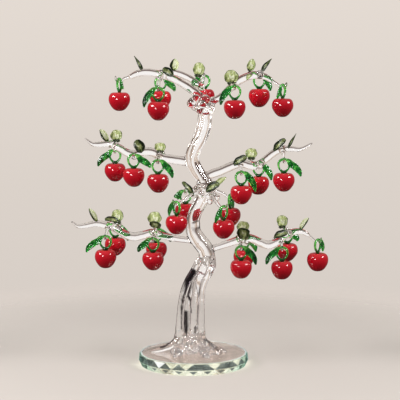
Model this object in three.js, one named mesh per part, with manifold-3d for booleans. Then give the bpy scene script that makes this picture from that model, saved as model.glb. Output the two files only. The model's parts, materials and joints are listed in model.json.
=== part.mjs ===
// A glass cherry tree. A cut glass disc carries a bundle of clear rods that fuse into one bent trunk. Two pairs of
// side branches, a crown and four short twigs in front end in upturned hooks, and a red glass cherry hangs on each
// hook by its green glass loop. Millimetres, +Z up, the viewer on the -Y side, origin under the disc's centre.
import * as THREE from "three";
import { mergeVertices } from "three/addons/utils/BufferGeometryUtils.js";
import Module from "manifold-3d";

const wasm = await Module();
wasm.setup();

// Cut glass disc: two rows of triangular cuts meet at its girdle.
const BASE_HEIGHT = 13;
const BASE_TOP_DIAMETER = 118;
const BASE_GIRDLE_DIAMETER = 120;
const BASE_FOOT_DIAMETER = 115;
const BASE_GIRDLE_HEIGHT = 5;
const CUTS_ROUND_RIM = 24;

// Trunk, roots and branches of clear glass.
const TRUNK_WIDTH = 17;
const TRUNK_LOBES = 3;
const TRUNK_GROOVE = 1.4;
const TRUNK_FOOT_LEVEL = 99;
const LOWER_RIGHT_LEVEL = 110;
const LOWER_LEFT_LEVEL = 122;
const KNOT_LEVEL = 178;
const MIDDLE_RIGHT_LEVEL = 188;
const MIDDLE_LEFT_LEVEL = 206;
const CROWN_LEVEL = 263;
const ROD_WIDTH = 10;
const ROOT_WIDTH = 9;
const BRANCH_WIDTH = 9.4;
const KNOT_WIDTH = 19;
const CROWN_LUMP_WIDTH = 13;
const FUSING_GAP = 0.3;

// Hooks and what hangs on them.
const HOOK_WIRE = 2.8;
const HOOK_RISE = 6;
const LOOP_WIDTH = 16;
const LOOP_WIRE = 2.7;
const LOOP_PLAY = 0.3;
const STEM_WIDTH = 3;
const STEM_LENGTH = 2.3;
const STEM_SEAT_GAP = 0.3;
const LOOP_LEAF_WIDTH = 6.2;
const LOOP_LEAF_THICKNESS = 1.8;

// Cherry: a round body with wide shoulders and a dimple for its stem.
const CHERRY_WIDTH = 23.2;
const CHERRY_HEIGHT = 19.8;
const DIMPLE_DEPTH = 2.4;
const DIMPLE_FLOOR_WIDTH = 4.4;

// Leaves fused on the branches.
const LEAF_WIDTH = 13;
const LEAF_THICKNESS = 1.8;

// Facets of the swept and turned forms.
const TRUNK_SIDES = 12;
const BRANCH_SIDES = 7;
const HOOK_SIDES = 5;
const LEAF_SIDES = 4;
const CHERRY_SIDES = 12;
const LOOP_STEPS = 12;
const LOOP_SIDES = 5;
const ROD_SIDES = 7;
const ROOT_SIDES = 6;
const TRUNK_STEPS = 22;
const BRANCH_STEPS = 16;
const ARCH_STEPS = 10;
const ROD_STEPS = 10;
const ROOT_STEPS = 4;
const HOOK_STEPS = 7;
const LEAF_STEPS = 4;
const LOOP_LEAF_STEPS = 3;
const BALL_DETAIL = 1;

// Blocks that cut the glass at a level are wider than the tree and as deep as the ends that they take off.
const CUT_REACH = 400;
const CUT_DEPTH = 60;

const CLEAR_GLASS = new THREE.MeshStandardMaterial({
  color: 0xe6ebe6,
  roughness: 0.04,
  metalness: 0,
  transparent: true,
  opacity: 0.45,
});
const RED_GLASS = new THREE.MeshStandardMaterial({ color: 0xb5121b, roughness: 0.08, metalness: 0 });
const GREEN_GLASS = new THREE.MeshStandardMaterial({ color: 0x12702c, roughness: 0.1, metalness: 0 });

// What grows from the trunk starts at its own level, and its heights below are measured from there.
const LEVELS = {
  branch_lower_right: LOWER_RIGHT_LEVEL,
  branch_lower_left: LOWER_LEFT_LEVEL,
  trunk_upper: KNOT_LEVEL,
  branch_middle_right: MIDDLE_RIGHT_LEVEL,
  branch_middle_left: MIDDLE_LEFT_LEVEL,
  crown: CROWN_LEVEL,
};

// Routes run through [x, y, height, share of the width], chosen by hand. Those of the trunk, rods and roots are
// measured from the disc's top.
const TRUNK_ROUTE = [
  [16, 0, TRUNK_FOOT_LEVEL - 7, 1],
  [15.5, 0, TRUNK_FOOT_LEVEL + 3, 1],
  [12.5, 0, 114, 1.04],
  [5, 0, 124, 1.02],
  [0, 0, 133, 0.96],
  [-0.5, 0, 143, 0.9],
  [2, 0, 153, 0.94],
  [7, 0, 163, 0.98],
  [13, 0, 175, 1.02],
  [14, 0, 182, 1.04],
  [10, 0, 190, 1],
  [3, 0, 200, 0.97],
  [-1.5, 0, 210, 0.95],
  [0.5, 0, 221, 0.95],
  [6.5, 0, 233, 0.97],
  [10.5, 0, 245, 0.97],
  [12, 0, CROWN_LEVEL - 4, 0.96],
  [12, 0, CROWN_LEVEL + 8, 0.94],
];
const ROD_ROUTES = [
  [[12, 0.5, TRUNK_FOOT_LEVEL + 5, 0.95], [10.5, 0.5, TRUNK_FOOT_LEVEL - 2, 0.95],
    [3, 0, 86, 0.9], [-4.5, 0, 74, 0.86], [-10.5, 0, 60, 0.85],
    [-13, 0, 46, 0.85], [-14, 0, 31, 0.9], [-16, 0, 14, 1.1], [-18, 0, -4, 1.3]],
  [[15.5, -3.5, TRUNK_FOOT_LEVEL + 5, 0.95], [15, -3.5, TRUNK_FOOT_LEVEL - 2, 0.95],
    [9, -4, 86, 0.9], [3, -4.5, 74, 0.9], [-1, -4.5, 60, 0.88],
    [-3, -5, 46, 0.88], [-4, -5, 31, 0.9], [-5, -7, 14, 1.1], [-5, -9, -4, 1.3]],
  [[20, 0.5, TRUNK_FOOT_LEVEL + 5, 0.9], [19.5, 0.5, TRUNK_FOOT_LEVEL - 2, 0.9],
    [15, 0.5, 86, 0.9], [9.5, 0.5, 74, 0.88], [6.5, 0.5, 60, 0.86],
    [6, 0, 46, 0.86], [6, 0, 31, 0.9], [7, 0, 14, 1.1], [8, 0, -4, 1.3]],
  [[16, 4, TRUNK_FOOT_LEVEL + 5, 0.9], [15, 4, TRUNK_FOOT_LEVEL - 2, 0.9],
    [9, 4.5, 86, 0.86], [3, 5, 74, 0.86], [-2, 5.5, 60, 0.84],
    [-4, 6, 46, 0.84], [-4, 6.5, 31, 0.9], [-4, 8, 14, 1.1], [-4, 10, -4, 1.3]],
];
const ROOT_ROUTES = [
  [[-13, 0, 20, 1], [-20, 0, 10, 1], [-30, -1, 4.5, 0.9], [-40, -2, 2, 0.7], [-48, -3, 0.4, 0.35]],
  [[6, 0, 20, 1], [13, 0, 10, 1], [21, -1, 4.5, 0.95], [29, -2, 2, 0.75], [36, -4, 0.4, 0.35]],
  [[-6, -5, 18, 1], [-10, -13, 8, 1], [-15, -21, 3.5, 0.9], [-21, -29, 0.6, 0.5]],
  [[2, -5, 18, 1], [6, -14, 8, 1.05], [11, -24, 4, 1], [16, -33, 0.6, 0.6]],
  [[-6, 6, 18, 1], [-11, 15, 8, 1], [-17, 24, 3.5, 0.9], [-24, 32, 0.5, 0.45]],
  [[2, 6, 18, 1], [8, 15, 8, 1], [14, 23, 3.5, 0.9], [20, 31, 0.5, 0.45]],
];
const BRANCH_ROUTES = {
  branch_lower_left: [[6, 0, 0, 0.8], [-8, 0, 1.5, 0.72], [-19, 0, 3, 0.76], [-33, 1, 6, 0.86],
    [-45, 2, 9, 0.96], [-55, 1, 6.5, 1], [-65, -1, 5, 1], [-74, -2, 8, 0.98], [-84, 0, 14, 0.92],
    [-94, 2, 17, 0.86], [-106, 2, 19, 0.8], [-117, 0, 17, 0.62], [-125, -2, 16.5, 0.46], [-132, -3, 22, 0.2]],
  branch_lower_right: [[8, 0, 0, 0.9], [24, 0, 5, 0.76], [36, 0, 9, 0.84], [50, 1, 13.5, 0.96],
    [62, 0, 15, 1], [72, -1, 11, 1], [81, -1, 8, 1], [90, 0, 11, 0.98], [98, 1, 17, 0.92],
    [107, 2, 21.5, 0.84], [117, 1, 22.5, 0.68], [124.5, 0, 19, 0.5]],
  branch_middle_left: [[4, 0, 0, 1], [-10, 0, 3, 1.04], [-23, 0, 5, 1.04], [-34, 1, 7, 1], [-45, 1, 13, 0.98],
    [-55, 0, 13, 0.98], [-63, -1, 10.5, 0.96], [-72, -1, 12.5, 0.92], [-81, 0, 18, 0.88], [-91, 2, 21.5, 0.8],
    [-101, 2, 21, 0.66], [-109, 1, 21.5, 0.5], [-117, 0, 28, 0.2]],
  branch_middle_right: [[6, 0, 0, 1.06], [21, 0, 7.5, 1.04], [31, 0, 11, 1.02], [42, 0, 16, 1], [51, 0, 19, 1],
    [61, -1, 16.5, 0.96], [70, -1, 17, 0.92], [78, 0, 23, 0.88], [87, 1, 30, 0.84], [95, 1, 34, 0.8],
    [104, 0, 34.5, 0.7], [115, -1, 34, 0.52], [128, -2, 40.5, 0.2]],
};
const CROWN_ROUTES = {
  left_arch: [[12, 0, 11, 1], [3, -1, 19, 0.94], [-10, -1, 28, 0.9], [-23, 0, 35, 0.88], [-36, 0, 39, 0.88],
    [-49, 0, 41.5, 0.86], [-60, 0, 40, 0.76], [-68, 0, 36, 0.6]],
  rear_arch: [[12, 3, 11, 1], [9, 9, 22, 0.86], [0, 12, 32, 0.8], [-11, 12, 38, 0.76], [-22, 11, 41.5, 0.7],
    [-32, 9, 41, 0.5]],
  right_arch: [[12, 0, 10, 1], [22, 0, 11.5, 0.84], [31, 0, 16, 0.84], [38, 0, 23, 0.88], [46, 0, 30, 0.92],
    [56, 1, 36, 0.92], [66, 2, 38.5, 0.88], [76, 3, 37, 0.76], [84, 4, 32.5, 0.6]],
};
const CROWN_LUMPS = [
  [0, -2, 9],
  [7, -3, 4],
  [17, -3, 4],
  [12, 1, 12],
];
const KNOT = [13.5, -1, 0];

// Each hanger is one hook with its cherry. hook is the lowest point of the hook's wire, facing is the compass turn of
// its tip in degrees (0 towards the viewer, 90 to the right, 180 to the rear) and leaf is the loop leaf's tip from
// the loop's centre, sideways and down, as it is seen from the hook's tip.
const HANGERS = [
  { on: "crown", from: [-68, 0, 36], hook: [-79.4, 0, 31.6], facing: -65, leaf: [10, 5] },
  { on: "crown", from: [-36, 0, 39], hook: [-37, -20, 22], facing: 0, leaf: [-15.5, 15] },
  { on: "crown", from: [-31, 9, 41], hook: [-35.7, 18, 32.9], facing: 180, leaf: [-15.5, 9] },
  { on: "crown", from: [8, 9, 23], hook: [11.5, 24, 35], facing: 180, leaf: [12, 6] },
  { on: "crown", from: [44, 0, 28.5], hook: [43.8, -18, 23.6], facing: 0, leaf: [-15, 14] },
  { on: "crown", from: [71.5, 2, 38], hook: [71.5, 17, 35.2], facing: 180, leaf: [-12, 11] },
  { on: "crown", from: [84, 4, 32.5], hook: [95.8, 0, 25.1], facing: 60, leaf: [-13, 9] },
  { on: "branch_middle_left", from: [-85.7, 1, 20], hook: [-85.7, 17, 11.1], facing: 180, leaf: [19, 12] },
  { on: "branch_middle_left", from: [-63.8, -1, 10.5], hook: [-63.8, -12, 7.9], facing: 0, leaf: [18, 8] },
  { on: "branch_middle_left", from: [-37.4, 1, 9], hook: [-37.4, -25, 2.7], facing: 0, leaf: [15.5, 13] },
  { on: "branch_middle_right", from: [51, 0, 19], hook: [50.9, -22, 8.1], facing: 0, leaf: [15, 15.5] },
  { on: "branch_middle_right", from: [71, -1, 17.5], hook: [71.2, 15, 14.9], facing: 180, leaf: [-14, 13] },
  { on: "branch_middle_right", from: [96.5, 1, 34], hook: [96.5, -16, 21.1], facing: 0, leaf: [18.5, 12.5] },
  { on: "trunk_upper", from: [9, -5, 0], hook: [-17.7, -34, -12.6], facing: -55, leaf: [-14, 10] },
  { on: "trunk_upper", from: [10, 5, 0], hook: [-8.9, 23, -5.8], facing: 180, leaf: [11, 2] },
  { on: "trunk_upper", from: [16, -5, 0], hook: [32.1, -34, -17.2], facing: 50, leaf: [-14, 11] },
  { on: "trunk_upper", from: [18, 0, 1], hook: [39.8, 6, -8.8], facing: 75, leaf: [14, 12] },
  { on: "branch_lower_left", from: [-92, 2, 16.5], hook: [-94.1, -18, 4.9], facing: 0, leaf: [-21, 11.5] },
  { on: "branch_lower_left", from: [-86, 1, 15], hook: [-86.1, 17, 13.2], facing: 180, leaf: [-14, 12] },
  { on: "branch_lower_left", from: [-43.3, 2, 8.5], hook: [-43.3, -18, 2.4], facing: 0, leaf: [-16, 8.5] },
  { on: "branch_lower_left", from: [-41, 2, 8], hook: [-40.8, 17, 8.2], facing: 180, leaf: [-16, 8] },
  { on: "branch_lower_right", from: [51, 1, 14], hook: [51.2, -18, 5.7], facing: 0, leaf: [16, 14] },
  { on: "branch_lower_right", from: [55.5, 1, 14.5], hook: [55.5, 17, 11.9], facing: 180, leaf: [-13, 11] },
  { on: "branch_lower_right", from: [95, 1, 15], hook: [95, -18, 4.7], facing: 0, leaf: [-17, 12.5] },
  { on: "branch_lower_right", from: [103, 2, 20], hook: [103.2, 17, 18.9], facing: 180, leaf: [-11, 6] },
  { on: "branch_lower_right", from: [124.5, 0, 19], hook: [135, 0, 10.7], facing: 55, leaf: [11, 8] },
];

// Each leaf has its foot in the branch, its tip, the share of the full width and the way its blade faces.
const LEAVES = [
  { on: "crown", foot: [-54.5, 0, 42.5], tip: [-63.5, 0, 59.5], share: 0.36, faces: [0.3, -1, 0.2] },
  { on: "crown", foot: [-21, -1.5, 35.5], tip: [-31, -8, 41.5], share: 0.63, faces: [-0.1, -1, 0.4] },
  { on: "crown", foot: [-21.5, 10, 43], tip: [-19.5, 9, 56], share: 0.73, faces: [0, -1, 0.1] },
  { on: "crown", foot: [1.5, 12, 33.5], tip: [8, 14, 53], share: 0.91, faces: [0, -1, 0.2] },
  { on: "crown", foot: [41.5, 0, 28.5], tip: [40, -3, 44], share: 1.19, faces: [0, -1, 0.2] },
  { on: "crown", foot: [62.5, 2, 39.5], tip: [64.5, 4, 56.5], share: 0.75, faces: [0.2, -1, 0] },
  { on: "crown", foot: [73, 2.5, 39.5], tip: [84, 1, 56], share: 0.41, faces: [-0.3, -1, 0.2] },
  { on: "crown", foot: [63, 0, 38.5], tip: [57, -8, 33], share: 0.41, faces: [-0.5, -0.8, 0.6] },
  { on: "branch_middle_left", foot: [-92.5, 2, 23.5], tip: [-100.5, 0, 37.5], share: 0.71, faces: [0.2, -1, 0.2] },
  { on: "branch_middle_left", foot: [-84.5, 1, 21], tip: [-83, 5, 36.5], share: 0.94, faces: [0, -1, 0.2] },
  { on: "branch_middle_left", foot: [-55, -2, 13], tip: [-62.5, -8, 25.5], share: 0.87, faces: [0.2, -1, 0.3] },
  { on: "branch_middle_left", foot: [-37, 1, 11], tip: [-36, 6, 22.5], share: 0.91, faces: [0, -1, 0.4] },
  { on: "branch_middle_right", foot: [43.5, -1.5, 18], tip: [57.5, -8, 27.5], share: 0.66, faces: [-0.3, -1, 0.5] },
  { on: "branch_middle_right", foot: [62.5, -0.5, 18.5], tip: [62.5, 6, 34.5], share: 0.96, faces: [0, -1, 0.5] },
  { on: "branch_middle_right", foot: [87, -0.5, 31.5], tip: [99, -6, 45], share: 0.63, faces: [-0.4, -1, 0.4] },
  { on: "branch_middle_right", foot: [102, 1, 36], tip: [111, 2, 51], share: 0.26, faces: [-0.2, -1, 0.2] },
  { on: "trunk_upper", foot: [6, -6, 0], tip: [-12, -16, 10], share: 0.51, faces: [0.4, -1, 0.4] },
  { on: "trunk_upper", foot: [13.5, -7, -1], tip: [28, -13, 7.5], share: 0.78, faces: [-0.3, -1, 0.5] },
  { on: "trunk_upper", foot: [20, -3, 1.5], tip: [35.5, -4, 14], share: 0.51, faces: [-0.5, -1, 0.3] },
  { on: "branch_lower_left", foot: [-105, 2, 21], tip: [-113, 0, 36], share: 0.58, faces: [0.2, -1, 0.2] },
  { on: "branch_lower_left", foot: [-82, -1, 15], tip: [-95.5, -9, 25.5], share: 0.53, faces: [0.1, -0.7, 1] },
  { on: "branch_lower_left", foot: [-84, 0.5, 16], tip: [-82.5, 6, 34], share: 0.99, faces: [0, -1, 0.3] },
  { on: "branch_lower_left", foot: [-44, 2, 11], tip: [-42, 6, 31.5], share: 1.08, faces: [0, -1, 0.3] },
  { on: "branch_lower_left", foot: [-41, 0, 9.5], tip: [-41, -9, 22.5], share: 1.04, faces: [-0.1, -1, 0.5] },
  { on: "branch_lower_right", foot: [54, 1, 16], tip: [54, 8, 32.5], share: 1.04, faces: [0, -1, 0.5] },
  { on: "branch_lower_right", foot: [54, -0.5, 12], tip: [53.5, -9, 29.5], share: 1.09, faces: [-0.2, -1, 0.4] },
  { on: "branch_lower_right", foot: [98.5, 1.5, 19.5], tip: [96, 7, 39.5], share: 0.96, faces: [-0.1, -1, 0.3] },
  { on: "branch_lower_right", foot: [86.5, -1, 11.5], tip: [101.5, -9, 22.5], share: 0.76, faces: [-0.5, -1, 0.7] },
  { on: "branch_lower_right", foot: [116, 1, 24.5], tip: [125, 1, 37.5], share: 0.5, faces: [-0.5, -0.9, 0.4] },
];

// Turns a closed three.js geometry into a solid that can be joined and cut.
function solidOf(geometry) {
  const bare = geometry.clone();
  bare.deleteAttribute("normal");
  bare.deleteAttribute("uv");
  const merged = mergeVertices(bare, 1e-4);
  return new wasm.Manifold(
    new wasm.Mesh({
      numProp: 3,
      vertProperties: new Float32Array(merged.attributes.position.array),
      triVerts: new Uint32Array(merged.index.array),
    }),
  );
}

// Turns a solid back into a geometry with flat faces.
function geometryOf(solid) {
  const mesh = solid.getMesh();
  const geometry = new THREE.BufferGeometry();
  geometry.setAttribute("position", new THREE.BufferAttribute(new Float32Array(mesh.vertProperties), 3));
  geometry.setIndex(new THREE.BufferAttribute(new Uint32Array(mesh.triVerts), 1));
  const flat = geometry.toNonIndexed();
  flat.computeVertexNormals();
  return flat;
}

// A spot of a piece, raised from the piece's own level to its height above the disc.
function raised(on, [x, y, height, ...share]) {
  return [x, y, LEVELS[on] + height, ...share];
}

function joined(solids) {
  return solids.reduce((sum, solid) => sum.add(solid));
}

// The share of the width at a fraction of the route, between the shares at its points.
function shareAt(route, fraction) {
  const place = fraction * (route.length - 1);
  const before = Math.min(Math.floor(place), route.length - 2);
  return THREE.MathUtils.lerp(route[before][3] ?? 1, route[before + 1][3] ?? 1, place - before);
}

// Sweeps an oval or lobed section along a route. Both ends close with a point, as high as a share of the thickness.
function sweep(route, shape) {
  const { width, thickness = width, sides, steps, across = [0, 1, 0] } = shape;
  const { lobes = 0, groove = 0, grow = 0, point = 0.25 } = shape;
  const stops = route.map(([x, y, z]) => new THREE.Vector3(x, y, z));
  const curve = new THREE.CatmullRomCurve3(stops, false, "centripetal");
  const vertices = [];
  const faces = [];
  const add = (point) => vertices.push(point.x, point.y, point.z);
  let side = new THREE.Vector3(...across);
  const ends = [];
  for (let step = 0; step <= steps; step += 1) {
    const fraction = step / steps;
    const centre = curve.getPoint(fraction);
    const tangent = curve.getTangent(fraction);
    const share = shareAt(route, fraction);
    side = side.clone().addScaledVector(tangent, -side.dot(tangent)).normalize();
    const up = tangent.clone().cross(side);
    for (let corner = 0; corner < sides; corner += 1) {
      const turn = (2 * Math.PI * corner) / sides;
      const dip = (groove * (1 - Math.cos(lobes * turn))) / 2;
      const halfWidth = share * (width / 2 - dip) + grow;
      const halfThickness = share * (thickness / 2 - dip) + grow;
      add(
        centre
          .clone()
          .addScaledVector(side, halfWidth * Math.cos(turn))
          .addScaledVector(up, halfThickness * Math.sin(turn)),
      );
    }
    if (step === 0 || step === steps) {
      const reach = share * thickness * point + grow;
      ends.push(centre.clone().addScaledVector(tangent, step === 0 ? -reach : reach));
    }
  }
  ends.forEach(add);
  const [first, last] = [vertices.length / 3 - 2, vertices.length / 3 - 1];
  for (let corner = 0; corner < sides; corner += 1) {
    const next = (corner + 1) % sides;
    for (let step = 0; step < steps; step += 1) {
      const [low, high] = [step * sides, (step + 1) * sides];
      faces.push(low + corner, low + next, high + next, low + corner, high + next, high + corner);
    }
    faces.push(first, next, corner, last, steps * sides + corner, steps * sides + next);
  }
  const geometry = new THREE.BufferGeometry();
  geometry.setAttribute("position", new THREE.Float32BufferAttribute(vertices, 3));
  geometry.setIndex(faces);
  return solidOf(geometry);
}

function ball([x, y, z], diameter) {
  const geometry = new THREE.IcosahedronGeometry(diameter / 2, BALL_DETAIL);
  geometry.translate(x, y, z);
  return solidOf(geometry);
}

// A block wider than the tree, for cutting what lies above or below a level.
function slab(from, to) {
  const geometry = new THREE.BoxGeometry(CUT_REACH, CUT_REACH, to - from);
  geometry.translate(0, 0, (from + to) / 2);
  return solidOf(geometry);
}

// The direction in which a hook's tip points, and the axis that its loop swings about.
function heading(facing) {
  const turn = THREE.MathUtils.degToRad(facing);
  return new THREE.Vector3(Math.sin(turn), -Math.cos(turn), 0);
}

// A clear wire that leaves the branch, dips to hold the loop and turns up past it.
function hook({ on, from, hook: dip, facing }) {
  const low = raised(on, dip);
  const out = heading(facing);
  const loopCentreRise = HOOK_WIRE / 2 + LOOP_PLAY + LOOP_WIRE / 2;
  const at = (along, rise, share) => [
    low[0] + out.x * along,
    low[1] + out.y * along,
    low[2] + rise,
    share,
  ];
  const route = [
    [...raised(on, from), 1.6],
    at(-2.1 * loopCentreRise, 1.1 * loopCentreRise, 1.15),
    at(-0.95 * loopCentreRise, 0.2 * loopCentreRise, 1),
    at(0, 0, 1),
    at(0.95 * loopCentreRise, 0.25 * loopCentreRise, 1),
    at(1.35 * loopCentreRise, 1.1 * loopCentreRise, 0.9),
    at(1.4 * loopCentreRise, HOOK_RISE, 0.6),
  ];
  return sweep(route, { width: HOOK_WIRE, sides: HOOK_SIDES, steps: HOOK_STEPS, across: [0, 0, 1] });
}

// A flat ovate blade that bows a little between its foot and its tip.
function branchLeaf({ on, foot, tip, share, faces }) {
  const start = new THREE.Vector3(...raised(on, foot));
  const end = new THREE.Vector3(...raised(on, tip));
  const facing = new THREE.Vector3(...faces);
  const along = end.clone().sub(start);
  const across = along.clone().cross(facing);
  const bow = facing.clone().normalize().multiplyScalar(along.length() / 12);
  const point = (fraction, width) => {
    const spot = start.clone().lerp(end, fraction).addScaledVector(bow, Math.sin(Math.PI * fraction));
    return [spot.x, spot.y, spot.z, width * share];
  };
  const route = [point(0, 0.3), point(0.3, 0.8), point(0.55, 1), point(0.8, 0.75), point(1, 0.08)];
  return sweep(route, {
    width: LEAF_WIDTH,
    thickness: LEAF_THICKNESS / share,
    sides: LEAF_SIDES,
    steps: LEAF_STEPS,
    across: across.toArray(),
  });
}

const hangersOn = (name) => HANGERS.filter(({ on }) => on === name);
const leavesOn = (name) => LEAVES.filter(({ on }) => on === name);
const dressed = (name, solids) =>
  joined([...solids, ...hangersOn(name).map(hook), ...leavesOn(name).map(branchLeaf)]);

function trunkSweep(grow = 0) {
  return sweep(TRUNK_ROUTE, {
    width: TRUNK_WIDTH,
    sides: TRUNK_SIDES,
    steps: TRUNK_STEPS,
    lobes: TRUNK_LOBES,
    groove: TRUNK_GROOVE,
    grow,
  });
}

function knot(grow = 0) {
  return ball(raised("trunk_upper", KNOT), KNOT_WIDTH + 2 * grow);
}

function baseDisc() {
  const profile = [
    [0, 0],
    [BASE_FOOT_DIAMETER / 2, 0],
    [BASE_GIRDLE_DIAMETER / 2, BASE_GIRDLE_HEIGHT],
    [BASE_TOP_DIAMETER / 2, BASE_HEIGHT],
    [0, BASE_HEIGHT],
  ].map(([radius, height]) => new THREE.Vector2(radius, height));
  const geometry = new THREE.LatheGeometry(profile, CUTS_ROUND_RIM);
  geometry.rotateX(Math.PI / 2);
  // Turning the girdle by half a cut makes the rim a zigzag of triangles.
  const half = Math.PI / CUTS_ROUND_RIM;
  const upright = new THREE.Vector3(0, 0, 1);
  const places = geometry.attributes.position;
  for (let i = 0; i < places.count; i += 1) {
    if (Math.abs(places.getZ(i) - BASE_GIRDLE_HEIGHT) < 1e-3) {
      const turned = new THREE.Vector3().fromBufferAttribute(places, i).applyAxisAngle(upright, half);
      places.setXYZ(i, turned.x, turned.y, turned.z);
    }
  }
  return geometryOf(solidOf(geometry));
}

function trunkLower() {
  const rod = { width: ROD_WIDTH, sides: ROD_SIDES, steps: ROD_STEPS };
  const root = { width: ROOT_WIDTH, sides: ROOT_SIDES, steps: ROOT_STEPS };
  const rods = ROD_ROUTES.map((route) => sweep(route, rod));
  const roots = ROOT_ROUTES.map((route) => sweep(route, root));
  return geometryOf(
    joined([...rods, ...roots])
      .subtract(slab(TRUNK_FOOT_LEVEL - FUSING_GAP, TRUNK_FOOT_LEVEL + CUT_DEPTH))
      .subtract(slab(-CUT_DEPTH, FUSING_GAP)),
  );
}

function trunkUpper() {
  const trunk = trunkSweep()
    .subtract(slab(TRUNK_FOOT_LEVEL - CUT_DEPTH, TRUNK_FOOT_LEVEL))
    .subtract(slab(CROWN_LEVEL, CROWN_LEVEL + CUT_DEPTH));
  return geometryOf(dressed("trunk_upper", [trunk, knot()]));
}

function branch(name, taken) {
  const route = BRANCH_ROUTES[name].map((stop) => raised(name, stop));
  const stem = sweep(route, { width: BRANCH_WIDTH, sides: BRANCH_SIDES, steps: BRANCH_STEPS });
  return geometryOf(dressed(name, [stem]).subtract(taken));
}

function crown() {
  const arch = { width: BRANCH_WIDTH, sides: BRANCH_SIDES, steps: ARCH_STEPS };
  const routes = Object.values(CROWN_ROUTES).map((route) => route.map((stop) => raised("crown", stop)));
  const arches = routes.map((route) => sweep(route, arch));
  const lumps = CROWN_LUMPS.map((place) => ball(raised("crown", place), CROWN_LUMP_WIDTH));
  const below = slab(CROWN_LEVEL - CUT_DEPTH, CROWN_LEVEL + FUSING_GAP);
  return geometryOf(dressed("crown", [...arches, ...lumps]).subtract(below));
}

// A hanging cherry's heights, measured down from the hook wire's centre.
const LOOP_RADIUS = (LOOP_WIDTH - LOOP_WIRE) / 2;
const LOOP_DROP = LOOP_RADIUS - (HOOK_WIRE + LOOP_WIRE) / 2 - LOOP_PLAY;
const STEM_FOOT_DROP = LOOP_DROP + LOOP_WIDTH / 2 + STEM_LENGTH;
const CHERRY_DROP = STEM_FOOT_DROP + STEM_SEAT_GAP + CHERRY_HEIGHT / 2 - DIMPLE_DEPTH;

function cherry() {
  const radius = CHERRY_WIDTH / 2;
  const half = CHERRY_HEIGHT / 2;
  const profile = [
    [0, -half],
    [0.48 * radius, -0.9 * half],
    [0.84 * radius, -0.42 * half],
    [radius, 0.25 * half],
    [0.9 * radius, 0.74 * half],
    [0.58 * radius, half],
    [DIMPLE_FLOOR_WIDTH / 2, half - DIMPLE_DEPTH],
    [0, half - DIMPLE_DEPTH],
  ].map(([across, up]) => new THREE.Vector2(across, up));
  const geometry = new THREE.LatheGeometry(profile, CHERRY_SIDES);
  geometry.rotateX(Math.PI / 2);
  return geometryOf(solidOf(geometry));
}

// A green loop with the stem that sits in the cherry's dimple and one drooping leaf.
function cherryLoop([tipSide, tipDrop]) {
  const ring = new THREE.TorusGeometry(LOOP_RADIUS, LOOP_WIRE / 2, LOOP_SIDES, LOOP_STEPS);
  ring.rotateX(Math.PI / 2);
  ring.translate(0, 0, -LOOP_DROP);
  const stem = sweep(
    [
      [0, 0, -STEM_FOOT_DROP, 1],
      [0, 0, -LOOP_DROP - LOOP_RADIUS, 0.8],
    ],
    { width: STEM_WIDTH, sides: LOOP_SIDES, steps: 1, point: 0 },
  );
  const side = Math.sign(tipSide);
  const leafRoot = side * 0.94 * LOOP_RADIUS;
  const leafHead = leafRoot + 0.42 * (tipSide - leafRoot);
  const leafFall = leafRoot + 0.78 * (tipSide - leafRoot);
  const leaf = sweep(
    [
      [leafRoot, 0, -LOOP_DROP - 0.3 * LOOP_RADIUS, 0.3],
      [leafHead, 0, -LOOP_DROP + 0.1 * LOOP_RADIUS, 0.95],
      [leafFall, 0, -LOOP_DROP - 0.45 * tipDrop, 0.8],
      [tipSide, 0, -LOOP_DROP - tipDrop, 0.08],
    ],
    {
      width: LOOP_LEAF_WIDTH,
      thickness: LOOP_LEAF_THICKNESS,
      sides: LEAF_SIDES,
      steps: LOOP_LEAF_STEPS,
      across: [0, 0, 1],
    },
  );
  return geometryOf(joined([solidOf(ring), stem, leaf]));
}

function named(name, geometry, material) {
  const mesh = new THREE.Mesh(geometry, material);
  mesh.name = name;
  return mesh;
}

const figurine = new THREE.Group();
const tree = new THREE.Group();
tree.position.z = BASE_HEIGHT;
figurine.add(named("base_disc", baseDisc(), CLEAR_GLASS), tree);

const trunkAndGap = joined([trunkSweep(FUSING_GAP), knot(FUSING_GAP)]);
tree.add(named("trunk_lower", trunkLower(), CLEAR_GLASS));
tree.add(named("trunk_upper", trunkUpper(), CLEAR_GLASS));
Object.keys(BRANCH_ROUTES).forEach((name) => tree.add(named(name, branch(name, trunkAndGap), CLEAR_GLASS)));
tree.add(named("crown", crown(), CLEAR_GLASS));

const cherryGeometry = cherry();
HANGERS.forEach(({ on, hook: dip, facing, leaf }, index) => {
  const number = String(index + 1).padStart(2, "0");
  const hanging = new THREE.Group();
  hanging.position.set(...raised(on, dip));
  hanging.rotation.z = THREE.MathUtils.degToRad(facing);
  const fruit = named(`cherry_${number}`, cherryGeometry, RED_GLASS);
  fruit.position.z = -CHERRY_DROP;
  hanging.add(fruit, named(`cherry_loop_${number}`, cherryLoop(leaf), GREEN_GLASS));
  tree.add(hanging);
});

export default figurine;
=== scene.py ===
"""A lampworked glass cherry tree on a cut glass disc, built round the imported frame.

Metres, +Z up, with the viewer on -Y.
"""
import json
import math
import random

import bmesh
import bpy
from mathutils import Matrix, Vector, noise
from mathutils.geometry import interpolate_bezier


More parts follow.
